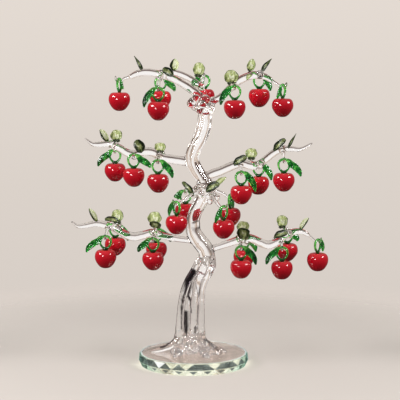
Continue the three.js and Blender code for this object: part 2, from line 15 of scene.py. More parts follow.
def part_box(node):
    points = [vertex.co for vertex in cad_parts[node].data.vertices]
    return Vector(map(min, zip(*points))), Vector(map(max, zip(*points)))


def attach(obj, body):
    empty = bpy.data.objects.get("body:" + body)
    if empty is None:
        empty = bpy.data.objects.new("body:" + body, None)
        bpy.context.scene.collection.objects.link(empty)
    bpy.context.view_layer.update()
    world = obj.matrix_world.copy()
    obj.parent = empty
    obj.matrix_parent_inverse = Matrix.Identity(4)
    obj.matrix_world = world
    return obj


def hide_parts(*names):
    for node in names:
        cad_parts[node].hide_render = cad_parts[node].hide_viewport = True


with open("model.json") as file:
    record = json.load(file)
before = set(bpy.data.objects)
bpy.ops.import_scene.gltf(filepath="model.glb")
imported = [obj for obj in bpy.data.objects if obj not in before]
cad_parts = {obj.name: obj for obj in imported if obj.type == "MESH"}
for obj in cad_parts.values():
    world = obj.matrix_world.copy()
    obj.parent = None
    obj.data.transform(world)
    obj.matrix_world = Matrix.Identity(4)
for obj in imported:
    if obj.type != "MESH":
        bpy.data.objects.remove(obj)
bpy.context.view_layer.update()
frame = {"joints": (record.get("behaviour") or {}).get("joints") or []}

MM = 0.001
TINY = 1e-6
FULL_TURN = 2 * math.pi
GOLDEN_ANGLE = math.radians(137.5)
dice = random.Random(5)

# Camera, at the photograph's viewing angle.
CAMERA_PLACE = (0.0071, -1.292, 0.3089)
CAMERA_PITCH_DOWN = 5.7
CAMERA_LENS = 108
CAMERA_SENSOR = 36

# Studio. Each lamp has its direction from the tree, its width and height, and its radiance.
LAMP_DISTANCE = 1.3
LAMP_AIM = (0, 0, 0.17)
LAMPS = [
    ("left_lamp", (-0.81, -0.3, 0.5), 0.64, 0.27, 26),
    ("front_lamp", (-0.46, -0.87, 0.16), 0.24, 0.22, 36),
    ("right_lamp", (0.81, -0.3, 0.5), 0.55, 0.24, 31),
]
EVEN_LIGHT = (0.26, 0.252, 0.245)
ROOM_PANES = 8
FLOOR_RADIUS = 0.6
FLOOR_SIDES = 96
FLOOR_DROP = 0.2 * MM
FLOOR_FADES_FROM = 0.22
FLOOR_FADES_TO = 0.58
FLOOR_COLOUR = (0.58, 0.532, 0.492)
FLOOR_COLOUR_IN_GLOSS = (0.08, 0.072, 0.068)

# How finely shapes are made.
TUBE_ROUNDNESS = 4
TUBE_STEPS = 6
TREE_VOXEL = 0.88 * MM
TREE_SMOOTHING = 4
LOOP_VOXEL = 0.4 * MM
LOOP_SMOOTHING = 2
LOOP_STEPS_ROUND = 36
LOOP_WIRE_SIDES = 12
CHERRY_STEPS_ROUND = 48
BLADE_STEPS_ROUND = 44
BLADE_STEPS_ALONG = 40
BUMP_DISTANCE = 0.6 * MM

# Clear glass of the trunk, branches and hooks. Places, and widths without MM, are in millimetres.
DISC_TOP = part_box("base_disc")[1].z
FUSING_HEIGHT = (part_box("trunk_upper")[0].z - DISC_TOP) / MM
STRANDS = 5
STRAND_WIDTH = 8.2 * MM
STRAND_OFFSET = 4.5 * MM
STRAND_TWIST = math.radians(80)
CORE_WIDTH = 8 * MM
TRUNK_FOOT_WIDTH = 17 * MM
TRUNK_FOOT_STOPS = 7
ROD_WIDTH = 9.4 * MM
ROOT_WIDTH = 9 * MM
BRANCH_WIDTH = 9.4 * MM
HOOK_WIRE = 3 * MM
HOOK_RISE = 6 * MM
HOOK_REACH = 3.05 * MM
HOOK_ROOT = 1.7 * HOOK_WIRE
HOOK_ROOT_AT_LIMB_END = 1.1 * HOOK_WIRE
HOOKS_AT_LIMB_ENDS = (1, 7, 26)
KNOT_WIDTH = 17 * MM
CROWN_LUMP_WIDTH = 12.5 * MM
SMALL_LUMP_WIDTH = 7.5 * MM
SMALL_LUMP_SHARES = (0.8, 1.2)
MELT_LUMP_WIDTH = 7 * MM
MELT_LUMP_SHARES = (0.7, 1.1)
MELT_LUMP_SPREAD = 3 * MM
MELT_LUMPS_PER_HOOK = 3
GLUE_LINE = 0.1 * MM
ROOT_LUMPS = 28
ROOT_LUMP_WIDTHS = (5.5, 9)
ROOT_LUMPS_CENTRE = (3, -6, 3)
ROOT_LUMPS_REACH = 30 * MM
ROOT_LUMPS_ACROSS = 0.9
ROOT_LUMPS_IN_DEPTH = 0.6
ROOT_LUMPS_RISE = 10
ROOT_LUMPS_FALL = 9
# How much of the rods' painted shade is kept at the middle of the root lumps, which are left lighter.
ROOT_LUMPS_SHADE = 0.3

# Ripples in the glass, each as a height and a wavelength.
GLASS_RIPPLE = (0.25 * MM, 10 * MM)
LUMP_RIPPLE = (0.9 * MM, 3.2 * MM)
LUMP_RIPPLE_REACH = 14 * MM
ROOT_RIPPLE = (1.6 * MM, 4.5 * MM)

# Painted shade in the lower rods, for dark surroundings seen through them, which fades out this far either
# side of where they fuse, and in their seams, as lines of (x, height above the disc) with a width. All are
# in millimetres.
ROD_SHADE_FADE = 6
SEAM_SHADES = [
    ([(0.2, 89), (-4.7, 79)], 5.6),
    ([(-4.7, 79), (-5.4, 74), (-7, 66)], 8.2),
    ([(-9.8, 66), (-12.4, 56), (-13.2, 44), (-13.2, 26)], 1.8),
    ([(-6.1, 65.5), (-4.2, 57), (-2.4, 45)], 1.8),
    ([(-8, 43), (-8, 20)], 3.4),
    ([(-36, 5.5), (-30.6, 7), (-18.7, 17.4)], 2),
    ([(11.5, 14.5), (19, 9.5), (27, 5)], 2),
]
SEAM_SHADE_COLOUR = (0.008, 0.005, 0.007)

# Clear stalks that carry the leaves.
STALK_WIDTH = 4.4 * MM
STALK_SHORTEST = 2 * MM

# Cut disc.
DISC_CUTS = 24
DISC_FOOT_WIDTH = 115 * MM
DISC_GIRDLE_WIDTH = 120 * MM
DISC_GIRDLE_LEVEL = 6 * MM
DISC_TOP_WIDTH = 118 * MM
DISC_EDGE = 0.7 * MM
DISC_FLECK_RIM = 1.2 * MM
DISC_TOP_RIM = 1.6 * MM
DISC_GLASS_INSIDE = (0.98, 0.97, 0.96)
TEAL = (0.2, 0.62, 0.54)

# Each glass of the disc has its transmission, its two tones and its colour where it is seen edge on. The
# disc is one clear crystal: the crystal's grey tones are painted shade, and the other glasses are copies of
# it whose tones are painted reflections, dark, white or pale green, and a painted highlight on the rim.
DISC_GLASSES = [
    ("crystal_disc_painted_shade", 1, (0.42, 0.34, 0.32), (0.6, 0.5, 0.47), (0.95, 0.97, 0.95)),
    ("cut_glass_painted_dark_reflection", 0.6, (0.03, 0.045, 0.042), (0.1, 0.14, 0.12), TEAL),
    ("cut_glass_painted_white_reflection", 0.3, (0.8, 0.82, 0.81), (0.95, 0.96, 0.96), TEAL),
    ("cut_glass_painted_pale_reflection", 0.8, (0.66, 0.74, 0.5), (0.88, 0.94, 0.7), TEAL),
    ("rim_glass_painted_highlight", 0.3, (0.85, 0.86, 0.87), (0.97, 0.97, 0.98), (0.82, 0.95, 0.93)),
]

# Green loops, their leaves and the leaves on the branches. STEM_ARM_REACH and LOOP_LEAF_OUT are
# shares of the loop's radius.
LOOP_RADIUS = 6.65 * MM
LOOP_DROP = 3.6 * MM
LOOP_WIRE = 2.7 * MM
LOOP_NARROWING = 0.24
STEM_FOOT_DROP = 13.9 * MM
STEM_WIDTH = 3.6 * MM
STEM_WAIST_WIDTH = 3.4 * MM
STEM_WAIST_RISE = 1.6 * MM
STEM_ARM_WIDTH = 2.6 * MM
STEM_ARM_RISE = 0.8 * MM
STEM_ARM_REACH = 0.62
LOOP_LEAF_WIDTH = 7.4 * MM
LOOP_LEAF_OUT = 1.1
LOOP_LEAF_TIP_TONES = (0.2, 0.6)
LOOP_JOINT_REACH = 6.5 * MM
LOOP_LEAF_FADE = 5 * MM
LOOP_STEM_FADE = 7 * MM
LOOP_GRAIN = 3.2 * MM
OPEN_LEAF_CUP = 0.1
CLOSED_LEAF_CUP = 0.2
LEAF_LENGTHS_PER_BOW = 12
LEAF_CURL_WIDTH = 3.6 * MM
LEAF_CURL_TONE = 0.08
LEAF_GRAIN = (2.6, 3.4, 1)
LEAF_BLADE = dict(
    thickness=1.2 * MM, ribs=5, rib_height=0.22 * MM, ridges=5, ridge_height=0.1 * MM, unevenness=0.17,
)
CURL_BLADE = dict(cup=0.3, thickness=1.6 * MM, ribs=2, rib_height=0.1 * MM, ridges=3, ridge_height=0.1 * MM)
LOOP_LEAF_BLADE = dict(
    cup=0.18, thickness=1.9 * MM, ribs=2, rib_height=0.3 * MM, ridges=6, ridge_height=0.2 * MM,
)
LEAF_TINTS = [
    (0.06, (0.008, 0.016, 0.005)), (0.45, (0.15, 0.18, 0.06)), (0.8, (0.55, 0.58, 0.26)),
    (1.0, (0.82, 0.8, 0.62)),
]
LOOP_TINTS = [(0.08, (0.002, 0.022, 0.006)), (0.5, (0.01, 0.25, 0.03)), (0.95, (0.25, 0.68, 0.16))]

# Cherries. The outline's points are shares of half the width and of half the height.
CHERRY_WIDTH = 23.1 * MM
CHERRY_HEIGHT = 19.8 * MM
CHERRY_NARROWINGS = (0, 0.14)
CHERRY_LEANS = (-0.08, 0.08)
CHERRY_DEPTHS = (0, 0.3)
# Tints from dark to bright red, for random tone and for painted shade that is lighter on top of each fruit
# and darker at its foot.
CHERRY_TONE_AND_SHADE_TINTS = [(0.1, (0.22, 0.001, 0.006)), (0.6, (0.4, 0.002, 0.01)), (1.0, (0.47, 0.004, 0.012))]
CHERRY_OUTLINE = [
    (0, -1), (0.2, -0.985), (0.4, -0.92), (0.59, -0.77), (0.77, -0.52), (0.91, -0.22), (0.985, 0.06),
    (1, 0.3), (0.97, 0.55), (0.89, 0.77), (0.75, 0.93), (0.58, 1), (0.42, 0.96), (0.28, 0.86),
    (0.13, 0.76), (0, 0.74),
]

# Routes run through (x, y, height above the disc, share of the width), in millimetres, as the solids do.
TRUNK_ROUTE = [
    (13, 0, 82, 0.4), (16, 0, 94, 0.96), (15.5, 0, 102, 1), (12.5, 0, 114, 1.04), (5, 0, 124, 1.02),
    (0, 0, 133, 0.96), (-0.5, 0, 143, 0.9), (2, 0, 153, 0.94), (7, 0, 163, 0.98), (13, 0, 175, 1.02),
    (14, 0, 182, 1.04), (10, 0, 190, 1), (3, 0, 200, 0.97), (-1.5, 0, 210, 0.95), (0.5, 0, 221, 0.95),
    (6.5, 0, 233, 0.97), (10.5, 0, 245, 0.97), (12, 0, 259, 0.96), (12, 0, 276, 0.94),
]
ROD_ROUTES = [
    [(6.5, -1, 105, 0.5), (4, -1, 97, 0.86), (-0.5, -0.5, 88, 0.88), (-6, 0, 79, 0.82),
     (-10, 0, 70, 0.76), (-12.5, 0, 60, 0.74), (-14.5, 0, 46, 0.74), (-15.5, 0, 30, 0.84),
     (-16.5, 0, 14, 1.1), (-18, 0, -4, 1.3)],
    [(14, -6, 107, 0.5), (12.5, -7, 97, 0.92), (8.5, -6.5, 88, 0.96), (4.5, -6, 78, 0.95),
     (3, -5.5, 69, 0.95), (2, -5, 60, 0.95), (1, -5, 46, 0.95), (0.5, -5, 31, 0.96), (-1, -7, 14, 1.1),
     (-2, -9, -4, 1.3)],
    [(21, -1, 102, 0.5), (20.5, -1, 94, 0.78), (16.5, 0, 86, 0.82), (12, 1, 78, 0.78), (9.5, 2, 69, 0.76),
     (9, 2, 60, 0.76), (9, 1, 46, 0.76), (8.5, 1, 31, 0.8), (8.5, 0, 14, 1.05), (9, 0, -4, 1.3)],
    [(16, 6, 106, 0.5), (14, 6.5, 97, 0.9), (8, 6, 86, 0.86), (1, 6, 74, 0.84), (-4, 6, 60, 0.82),
     (-6.5, 6, 46, 0.82), (-7, 6.5, 31, 0.88), (-6, 8, 14, 1.1), (-5, 10, -4, 1.3)],
]
ROOT_ROUTES = [
    [(-13, 0, 20, 1), (-20, 0, 10, 1), (-30, -1, 4.5, 0.9), (-40, -2, 2, 0.7), (-48, -3, 0.4, 0.35)],
    [(6, 0, 20, 1), (13, 0, 10, 1), (21, -1, 4.5, 0.95), (29, -2, 2, 0.75), (36, -4, 0.4, 0.35)],
    [(-6, -5, 18, 1), (-10, -13, 8, 1), (-15, -21, 3.5, 0.9), (-21, -29, 0.6, 0.5)],
    [(2, -5, 18, 1), (6, -14, 8, 1.05), (11, -24, 4, 1), (16, -33, 0.6, 0.6)],
    [(-6, 6, 18, 1), (-11, 15, 8, 1), (-17, 24, 3.5, 0.9), (-24, 32, 0.5, 0.45)],
    [(2, 6, 18, 1), (8, 15, 8, 1), (14, 23, 3.5, 0.9), (20, 31, 0.5, 0.45)],
]
LIMB_ROUTES = [
    [(6, 0, 122, 0.8), (-8, 0, 123.5, 0.72), (-19, 0, 125, 0.76), (-33, 1, 128, 0.86), (-45, 2, 131, 0.96),
     (-55, 1, 128.5, 1), (-65, -1, 127, 1), (-74, -2, 130, 0.98), (-84, 0, 136, 0.92), (-94, 2, 139, 0.86),
     (-106, 2, 141, 0.8), (-117, 0, 139, 0.62), (-125, -2, 138.5, 0.46), (-132, -3, 144, 0.2)],
    [(8, 0, 110, 0.9), (24, 0, 115, 0.76), (36, 0, 119, 0.84), (50, 1, 123.5, 0.96), (62, 0, 125, 1),
     (72, -1, 121, 1), (81, -1, 118, 1), (90, 0, 121, 0.98), (98, 1, 127, 0.92), (107, 2, 131.5, 0.84),
     (117, 1, 132.5, 0.68), (124.5, 0, 129, 0.5)],
    [(4, 0, 206, 1), (-10, 0, 209, 1.04), (-23, 0, 211, 1.04), (-34, 1, 213, 1), (-45, 1, 219, 0.98),
     (-55, 0, 219, 0.98), (-63, -1, 216.5, 0.96), (-72, -1, 218.5, 0.92), (-81, 0, 224, 0.88),
     (-91, 2, 227.5, 0.8), (-101, 2, 227, 0.66), (-109, 1, 227.5, 0.5), (-117, 0, 234, 0.2)],
    [(6, 0, 188, 1.06), (21, 0, 195.5, 1.04), (31, 0, 199, 1.02), (42, 0, 204, 1), (51, 0, 207, 1),
     (61, -1, 204.5, 0.96), (70, -1, 205, 0.92), (78, 0, 211, 0.88), (87, 1, 218, 0.84), (95, 1, 222, 0.8),
     (104, 0, 222.5, 0.7), (115, -1, 222, 0.52), (128, -2, 228.5, 0.2)],
    [(12, 0, 274, 1), (3, -1, 282, 0.94), (-10, -1, 291, 0.9), (-23, 0, 298, 0.88), (-36, 0, 302, 0.88),
     (-49, 0, 304.5, 0.86), (-60, 0, 303, 0.76), (-68, 0, 299, 0.6)],
    [(12, 3, 274, 1), (9, 9, 285, 0.86), (0, 12, 295, 0.8), (-11, 12, 301, 0.76), (-22, 11, 304.5, 0.7),
     (-32, 9, 304, 0.5)],
    [(12, 0, 273, 1), (22, 0, 274.5, 0.84), (31, 0, 279, 0.84), (38, 0, 286, 0.88), (46, 0, 293, 0.92),
     (56, 1, 299, 0.92), (66, 2, 301.5, 0.88), (76, 3, 300, 0.76), (84, 4, 295.5, 0.6)],
]
CROWN_LUMPS = [(0, -3, 272), (7, -4.5, 266.5), (17, -4.5, 266), (12, -3, 274.5)]
SMALL_LUMPS = [
    (-3.5, -3, 271), (3, -6, 277), (10, -7, 271), (21, -3, 272), (13, -7, 263), (1, -5, 266),
    (7, -5, 186), (9, -8, 181), (16, -8, 172), (21, -5, 175), (25, -3, 170), (18, -5, 166), (8, -9, 173),
    (4, -6, 180),
]
KNOT = (13.5, -1, 178)

# A hook's wire from the tree to its tip, as how far out and up it is in reaches, and its share of
# the width.
HOOK_SHAPE = [
    (-2.1, 1.1, 1.15), (-0.95, 0.2, 1), (0, 0, 1), (0.95, 0.25, 1), (1.35, 1.1, 0.9),
    (1.4, HOOK_RISE / HOOK_REACH, 0.6),
]

# Each hanger is where its hook leaves the tree, and how far to the side and below the loop's
# centre the tip of the loop's leaf is.
HANGERS = [
    ((-68, 0, 299), (10, 5)), ((-36, 0, 302), (-15.5, 15)),
    ((-31, 9, 304), (-15.5, 9)), ((8, 7, 286), (12, 6)),
    ((44, 0, 291.5), (-15, 14)), ((71.5, 2, 301), (-12, 11)),
    ((84, 4, 295.5), (-13, 9)), ((-85.7, 1, 226), (19, 12)),
    ((-63.8, -1, 216.5), (18, 8)), ((-37.4, 1, 215), (15.5, 13)),
    ((51, 0, 207), (15, 15.5)), ((71, -1, 205.5), (-14, 13)),
    ((96.5, 1, 222), (18.5, 12.5)), ((9, -5, 178), (-14, 10)),
    ((10, 5, 178), (11, 2)), ((16, -5, 178), (-14, 11)),
    ((18, 0, 179), (14, 12)), ((-92, 2, 138.5), (-21, 11.5)),
    ((-86, 1, 137), (-14, 12)), ((-43.3, 2, 130.5), (-16, 8.5)),
    ((-41, 2, 130), (-16, 8)), ((51, 1, 124), (16, 14)),
    ((55.5, 1, 124.5), (-13, 11)), ((95, 1, 125), (-17, 12.5)),
    ((103, 2, 130), (-11, 6)), ((124.5, 0, 129), (11, 8)),
]

# Each leaf has its kind, its foot, its tip, its width and the way its blade faces.
LEAVES = [
    ("thin", (-55, 0, 306.3), (-63.5, 0, 322), 4.5, (0.3, -1, 0.2)),
    ("dark", (-21.5, -3, 301), (-33, -8, 307.5), 9, (-0.1, -1, 0.4)),
    ("left_edged", (-21.5, 10, 306), (-19.5, 9, 319), 9.5, (0, -1, 0.1)),
    ("fan", (5, 11, 300), (7, 14, 315), 12.5, (0, -1, 0.2)),
    ("fan", (41, 0, 292), (40, -3, 307), 15.5, (0, -1, 0.2)),
    ("pale", (59.5, 2, 305.5), (64, 4, 318.5), 9.5, (0.2, -1, 0)),
    ("thin", (73.5, 2, 305.5), (84, 1, 319), 5.5, (-0.3, -1, 0.2)),
    ("pale", (63, -2, 302), (57, -8, 296), 5.5, (-0.5, -0.8, 0.6)),
    ("left_edged", (-92.5, 2, 230), (-100.5, 0, 243.5), 7.5, (0.2, -1, 0.2)),
    ("fan", (-83, 2, 230.5), (-83, 5, 242.5), 12.5, (0, -1, 0.2)),
    ("dark", (-55, -2, 219), (-62.5, -8, 231.5), 12, (0.2, -1, 0.3)),
    ("fan", (-36, 1, 218.5), (-36, 6, 228.5), 12, (0, -1, 0.4)),
    ("dark", (43.5, -2, 205), (57.5, -8, 214), 9, (-0.3, -1, 0.5)),
    ("fan", (62.5, 1, 211), (62.5, 6, 222.5), 12.5, (0, -1, 0.5)),
    ("dark", (86.5, -1, 220), (99, -6, 233), 8, (-0.4, -1, 0.4)),
    ("thin", (102, 1, 222.5), (111, 2, 239), 3.5, (-0.2, -1, 0.2)),
    ("dark", (-0.5, -14, 174), (-12, -17, 188), 6.5, (0.4, -1, 0.4)),
    ("dark", (13.5, -7, 177), (28, -13, 185.5), 10, (-0.3, -1, 0.5)),
    ("pale", (20, -3, 179.5), (35.5, -4, 192), 6.5, (-0.5, -1, 0.3)),
    ("left_edged", (-104.5, 2, 142.7), (-113, 0, 158), 6.3, (0.2, -1, 0.2)),
    ("dark", (-78.5, -3, 142), (-95.5, -9, 146.5), 9, (0.1, -0.7, 1)),
    ("fan", (-82.5, 2, 142), (-82.5, 6, 156), 13, (0, -1, 0.3)),
    ("fan", (-42, 3, 140), (-42, 6, 153.5), 15.5, (0, -1, 0.3)),
    ("bowl", (-41, -3, 137), (-41, -9, 144.5), 13.5, (-0.1, -1, 0.5)),
    ("fan", (53.5, 2, 132), (54, 8, 142.5), 13.5, (0, -1, 0.5)),
    ("bowl", (54.5, -3, 124.5), (54.5, -9, 137.5), 14, (-0.2, -1, 0.4)),
    ("fan", (96.5, 3, 136.5), (96.5, 7, 149.5), 12.5, (-0.1, -1, 0.3)),
    ("dark", (87.5, -1, 126.5), (102, -9, 132), 9, (-0.5, -1, 0.7)),
    ("right_edged", (116, 1, 134), (125, 1, 147.5), 6.5, (-0.5, -0.9, 0.4)),
]

# The outline of each kind of leaf, as the share of its length and of its width.
OVAL = [(0, 0.25), (0.12, 0.6), (0.28, 0.9), (0.45, 1), (0.62, 0.95), (0.78, 0.76), (0.9, 0.46), (1, 0.12)]
OUTLINES = {
    "thin": [(0, 0.5), (0.15, 0.9), (0.3, 1), (0.5, 0.86), (0.7, 0.55), (0.86, 0.28), (1, 0.1)],
    "dark": [
        (0, 0.25), (0.12, 0.6), (0.28, 0.9), (0.45, 1), (0.65, 0.98), (0.82, 0.84), (0.93, 0.6), (1, 0.25),
    ],
    "fan": [
        (0, 0.3), (0.1, 0.55), (0.25, 0.85), (0.45, 1), (0.62, 0.97), (0.78, 0.82), (0.9, 0.58), (1, 0.2),
    ],
    "bowl": [(0, 0.45), (0.15, 0.8), (0.35, 0.97), (0.6, 1), (0.8, 0.96), (0.93, 0.8), (1, 0.45)],
    "pale": OVAL, "left_edged": OVAL, "right_edged": OVAL,
}

# The folded foot of a fan, as how far across in leaf widths, the rise in millimetres and the share
# of the fold's own width.
CURL = [(-0.3, 0.6, 0.5), (-0.15, -0.6, 1), (0, 0.6, 0.6), (0.15, -0.6, 1), (0.3, 0.6, 0.5)]


def place(spot):
    """A point given in millimetres above the disc, in metres in the frame."""
    x, y, height = spot[:3]
    return Vector((x * MM, y * MM, height * MM + DISC_TOP))


def clamped(value):
    """A value kept between 0 and 1."""
    return min(1, max(0, value))


def sized(route, width):
    """A route's points in the frame, each with its width."""
    return [(place(stop), stop[3] * width) for stop in route]


def smooth_line(stops, steps):
    """(point, width) pairs along a smooth line through the stops."""
    spots = [spot for spot, width in stops]
    legs = [after - before for before, after in zip(spots, spots[1:])]
    ways = [leg.normalized() for leg in legs]
    bends = [ways[0]] + [(a + b).normalized() for a, b in zip(ways, ways[1:])] + [ways[-1]]
    line = []
    for index, leg in enumerate(legs):
        third = leg.length / 3
        start, end = spots[index], spots[index + 1]
        first, last = stops[index][1], stops[index + 1][1]
        lead, trail = start + bends[index] * third, end - bends[index + 1] * third
        knots = interpolate_bezier(start, lead, trail, end, steps + 1)
        line += [(knot, first + (last - first) * step / steps) for step, knot in enumerate(knots[:-1])]
    return line + [stops[-1]]


def add_tubes(bm, runs):
    """Adds round tubes to bm, one along each run of (point, width) stops."""
    curve = bpy.data.curves.new("runs", "CURVE")
    curve.dimensions = "3D"
    curve.bevel_depth = 0.5
    curve.bevel_resolution = TUBE_ROUNDNESS
    curve.use_fill_caps = True
    for stops in runs:
        line = smooth_line(stops, TUBE_STEPS)
        spline = curve.splines.new("POLY")
        spline.points.add(len(line) - 1)
        for point, (spot, width) in zip(spline.points, line):
            point.co = (*spot, 1)
            point.radius = width
    holder = bpy.data.objects.new("runs", curve)
    mesh = bpy.data.meshes.new_from_object(holder)
    bpy.data.objects.remove(holder)
    bpy.data.curves.remove(curve)
    bm.from_mesh(mesh)
    bpy.data.meshes.remove(mesh)


def join_into(bm, part):
    """Moves the shape in part into bm."""
    mesh = bpy.data.meshes.new("part")
    part.to_mesh(mesh)
    part.free()
    bm.from_mesh(mesh)
    bpy.data.meshes.remove(mesh)


def in_scene(name, data):
    """A new object in the scene."""
    made = bpy.data.objects.new(name, data)
    bpy.context.scene.collection.objects.link(made)
    return made


def new_object(name, bm):
    """bm as an object in the scene."""
    mesh = bpy.data.meshes.new(name)
    bm.to_mesh(mesh)
    bm.free()
    return in_scene(name, mesh)


def melted(bm, voxel, rounds):
    """The closed shapes in bm fused into one skin, as glass melts together, as a new bmesh."""
    holder = new_object("melt", bm)
    mesh = holder.data
    remesh = holder.modifiers.new("fuse", "REMESH")
    remesh.mode = "VOXEL"
    remesh.voxel_size = voxel
    smooth = holder.modifiers.new("flow", "SMOOTH")
    smooth.factor = 0.5
    smooth.iterations = rounds
    skin = holder.evaluated_get(bpy.context.evaluated_depsgraph_get()).to_mesh()
    fused = bmesh.new()
    fused.from_mesh(skin)
    bpy.data.objects.remove(holder)
    bpy.data.meshes.remove(mesh)
    return fused


def finished(name, bm, materials, body, replaces=(), smooth=True):
    """bm as a piece that rides on a body of the frame and may stand in for some of its nodes."""
    for face in bm.faces:
        face.smooth = smooth
    piece = new_object(name, bm)
    for material in materials:
        piece.data.materials.append(material)
    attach(piece, body)
    if replaces:
        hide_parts(*replaces)


def face_outwards(bm):
    """Turns a closed shape's faces outwards by its volume, because a thin blade misleads the usual way."""
    bmesh.ops.recalc_face_normals(bm, faces=bm.faces)
    if bm.calc_volume(signed=True) < 0:
        bmesh.ops.reverse_faces(bm, faces=bm.faces)


def spin_round(bm, geom, steps):
    """Sweeps an outline or a section once round the upright axis."""
    bmesh.ops.spin(
        bm, geom=geom, cent=(0, 0, 0), axis=(0, 0, 1), angle=FULL_TURN, steps=steps, use_merge=True
    )


def add_ball(bm, centre, width):
    """A round lump."""
    bmesh.ops.create_icosphere(bm, subdivisions=3, radius=width / 2, matrix=Matrix.Translation(centre))


def ripple(bm, height, wavelength, centres=(), reach=1):
    """Moves each point along its normal by a slow noise, everywhere or only within reach of the centres."""
    bm.normal_update()
    for vert in bm.verts:
        gaps = [(vert.co - centre).length / reach for centre in centres]
        share = max(0, 1 - min(gaps)) if centres else 1
        if share:
            vert.co += vert.normal * height * share**0.5 * noise.noise(vert.co / wavelength)


def near(centre, reach):
    """A random point near the centre."""
    return centre + Vector([dice.uniform(-reach, reach) for axis in range(3)])


def add_camera():
    """The photograph's own view."""
    camera = in_scene("camera", bpy.data.cameras.new("camera"))
    camera.data.lens = CAMERA_LENS
    camera.data.sensor_width = CAMERA_SENSOR
    camera.location = CAMERA_PLACE
    camera.rotation_euler = (math.radians(90 - CAMERA_PITCH_DOWN), 0, 0)
    bpy.context.scene.camera = camera


def material_with(name):
    """A new material's nodes, its links and its emptied output."""
    material = bpy.data.materials.new(name)
    material.use_nodes = True
    nodes, links = material.node_tree.nodes, material.node_tree.links
    nodes.clear()
    output = nodes.new("ShaderNodeOutputMaterial")
    return material, nodes, links, output


def shader_with(nodes, values):
    """The main shader, with values on its own sockets."""
    shader = nodes.new("ShaderNodeBsdfPrincipled")
    for name, value in values.items():
        shader.inputs[name].default_value = value
    return shader


def colour_ramp(nodes, links, factor, stops):
    """A colour that runs through the stops as the factor rises."""
    ramp = nodes.new("ShaderNodeValToRGB")
    links.new(factor, ramp.inputs["Fac"])
    elements = ramp.color_ramp.elements
    while len(elements) > len(stops):
        elements.remove(elements[-1])
    while len(elements) < len(stops):
        elements.new(1)
    for element, (position, colour) in zip(elements, stops):
        element.position = position
        element.color = (*colour, 1)
    return ramp.outputs["Color"]


def feed(links, value, socket):
    """Sets a socket to a number or a colour, or links it to another node's output."""
    if isinstance(value, (int, float)):
        socket.default_value = value
    elif isinstance(value, tuple):
        socket.default_value = (*value, 1)
    else:
        links.new(value, socket)


def maths(nodes, links, operation, *values):
    """The outcome of a sum done with numbers and other nodes' outputs."""
    step = nodes.new("ShaderNodeMath")
    step.operation = operation
    for socket, value in zip(step.inputs, values):
        feed(links, value, socket)
    return step.outputs["Value"]


def variation_group():
    """A node group that adds a noise to a piece's own tone, and gives the noise alone as its grain."""
    group = bpy.data.node_groups.new("glass_variation", "ShaderNodeTree")
    for name, kind in (("Vector", "Vector"), ("Scale", "Float"), ("Tone", "Float"), ("Weight", "Float")):
        group.interface.new_socket(name, in_out="INPUT", socket_type="NodeSocket" + kind)
    for name in ("Tone", "Grain"):
        group.interface.new_socket(name, in_out="OUTPUT", socket_type="NodeSocketFloat")
    nodes, links = group.nodes, group.links
    given, kept = nodes.new("NodeGroupInput"), nodes.new("NodeGroupOutput")
    texture = nodes.new("ShaderNodeTexNoise")
    texture.inputs["Detail"].default_value = 3
    links.new(given.outputs["Vector"], texture.inputs["Vector"])
    links.new(given.outputs["Scale"], texture.inputs["Scale"])
    swing = maths(nodes, links, "SUBTRACT", texture.outputs["Fac"], 0.5)
    tone = maths(nodes, links, "MULTIPLY_ADD", swing, given.outputs["Weight"], given.outputs["Tone"])
    links.new(tone, kept.inputs["Tone"])
    links.new(texture.outputs["Fac"], kept.inputs["Grain"])
    return group


def attribute(nodes, name):
    """A value that the piece's points carry."""
    carried = nodes.new("ShaderNodeAttribute")
    carried.attribute_name = name
    return carried.outputs


def varied(nodes, links, scale, weight, stretch=None):
    """The variation group in a material, on Object coordinates or on the piece's own stretched grain."""
    node = nodes.new("ShaderNodeGroup")
    node.node_tree = variation
    node.inputs["Scale"].default_value = scale
    node.inputs["Weight"].default_value = weight
    links.new(attribute(nodes, "tone")["Fac"], node.inputs["Tone"])
    if stretch:
        drawn = nodes.new("ShaderNodeVectorMath")
        drawn.operation = "MULTIPLY"
        drawn.inputs[1].default_value = stretch
        links.new(attribute(nodes, "grain")["Vector"], drawn.inputs[0])
        links.new(drawn.outputs["Vector"], node.inputs["Vector"])
    else:
        where = nodes.new("ShaderNodeTexCoord")
        links.new(where.outputs["Object"], node.inputs["Vector"])
    return node.outputs


def add_bump(nodes, links, height, strength, shader):
    """Bumps a shader's surface by a height that varies over it."""
    bump = nodes.new("ShaderNodeBump")
    bump.inputs["Distance"].default_value = BUMP_DISTANCE
    bump.inputs["Strength"].default_value = strength
    links.new(height, bump.inputs["Height"])
    links.new(bump.outputs["Normal"], shader.inputs["Normal"])


def see_through(nodes, links, share, shader, output, shade):
    """Finishes a material with a shader that lets a share of the light pass, dimmed to a shade."""
    clear = nodes.new("ShaderNodeBsdfTransparent")
    clear.inputs["Color"].default_value = (*shade, 1)
    mix = nodes.new("ShaderNodeMixShader")
    for value, socket in zip((share, shader.outputs["BSDF"], clear.outputs["BSDF"]), mix.inputs):
        links.new(value, socket)
    links.new(mix.outputs["Shader"], output.inputs["Surface"])


def lit_through(nodes, links, glass, output, shade):
    """Lets lamps shine through a glass shader, dimmed to a shade."""
    path = nodes.new("ShaderNodeLightPath")
    see_through(nodes, links, path.outputs["Is Shadow Ray"], glass, output, shade)


def edge_ramp(nodes, links, stops, blend=0.35):
    """A colour that runs through the stops from where a surface is seen face on to edge on."""
    edge = nodes.new("ShaderNodeLayerWeight")
    edge.inputs["Blend"].default_value = blend
    return colour_ramp(nodes, links, edge.outputs["Facing"], stops)


def blended(nodes, links, way, factor, first, second):
    """Two colours mixed or multiplied."""
    mix = nodes.new("ShaderNodeMix")
    mix.data_type = "RGBA"
    mix.blend_type = way
    for name, value in (("Factor", factor), ("A", first), ("B", second)):
        feed(links, value, mix.inputs[name])
    return mix.outputs["Result"]


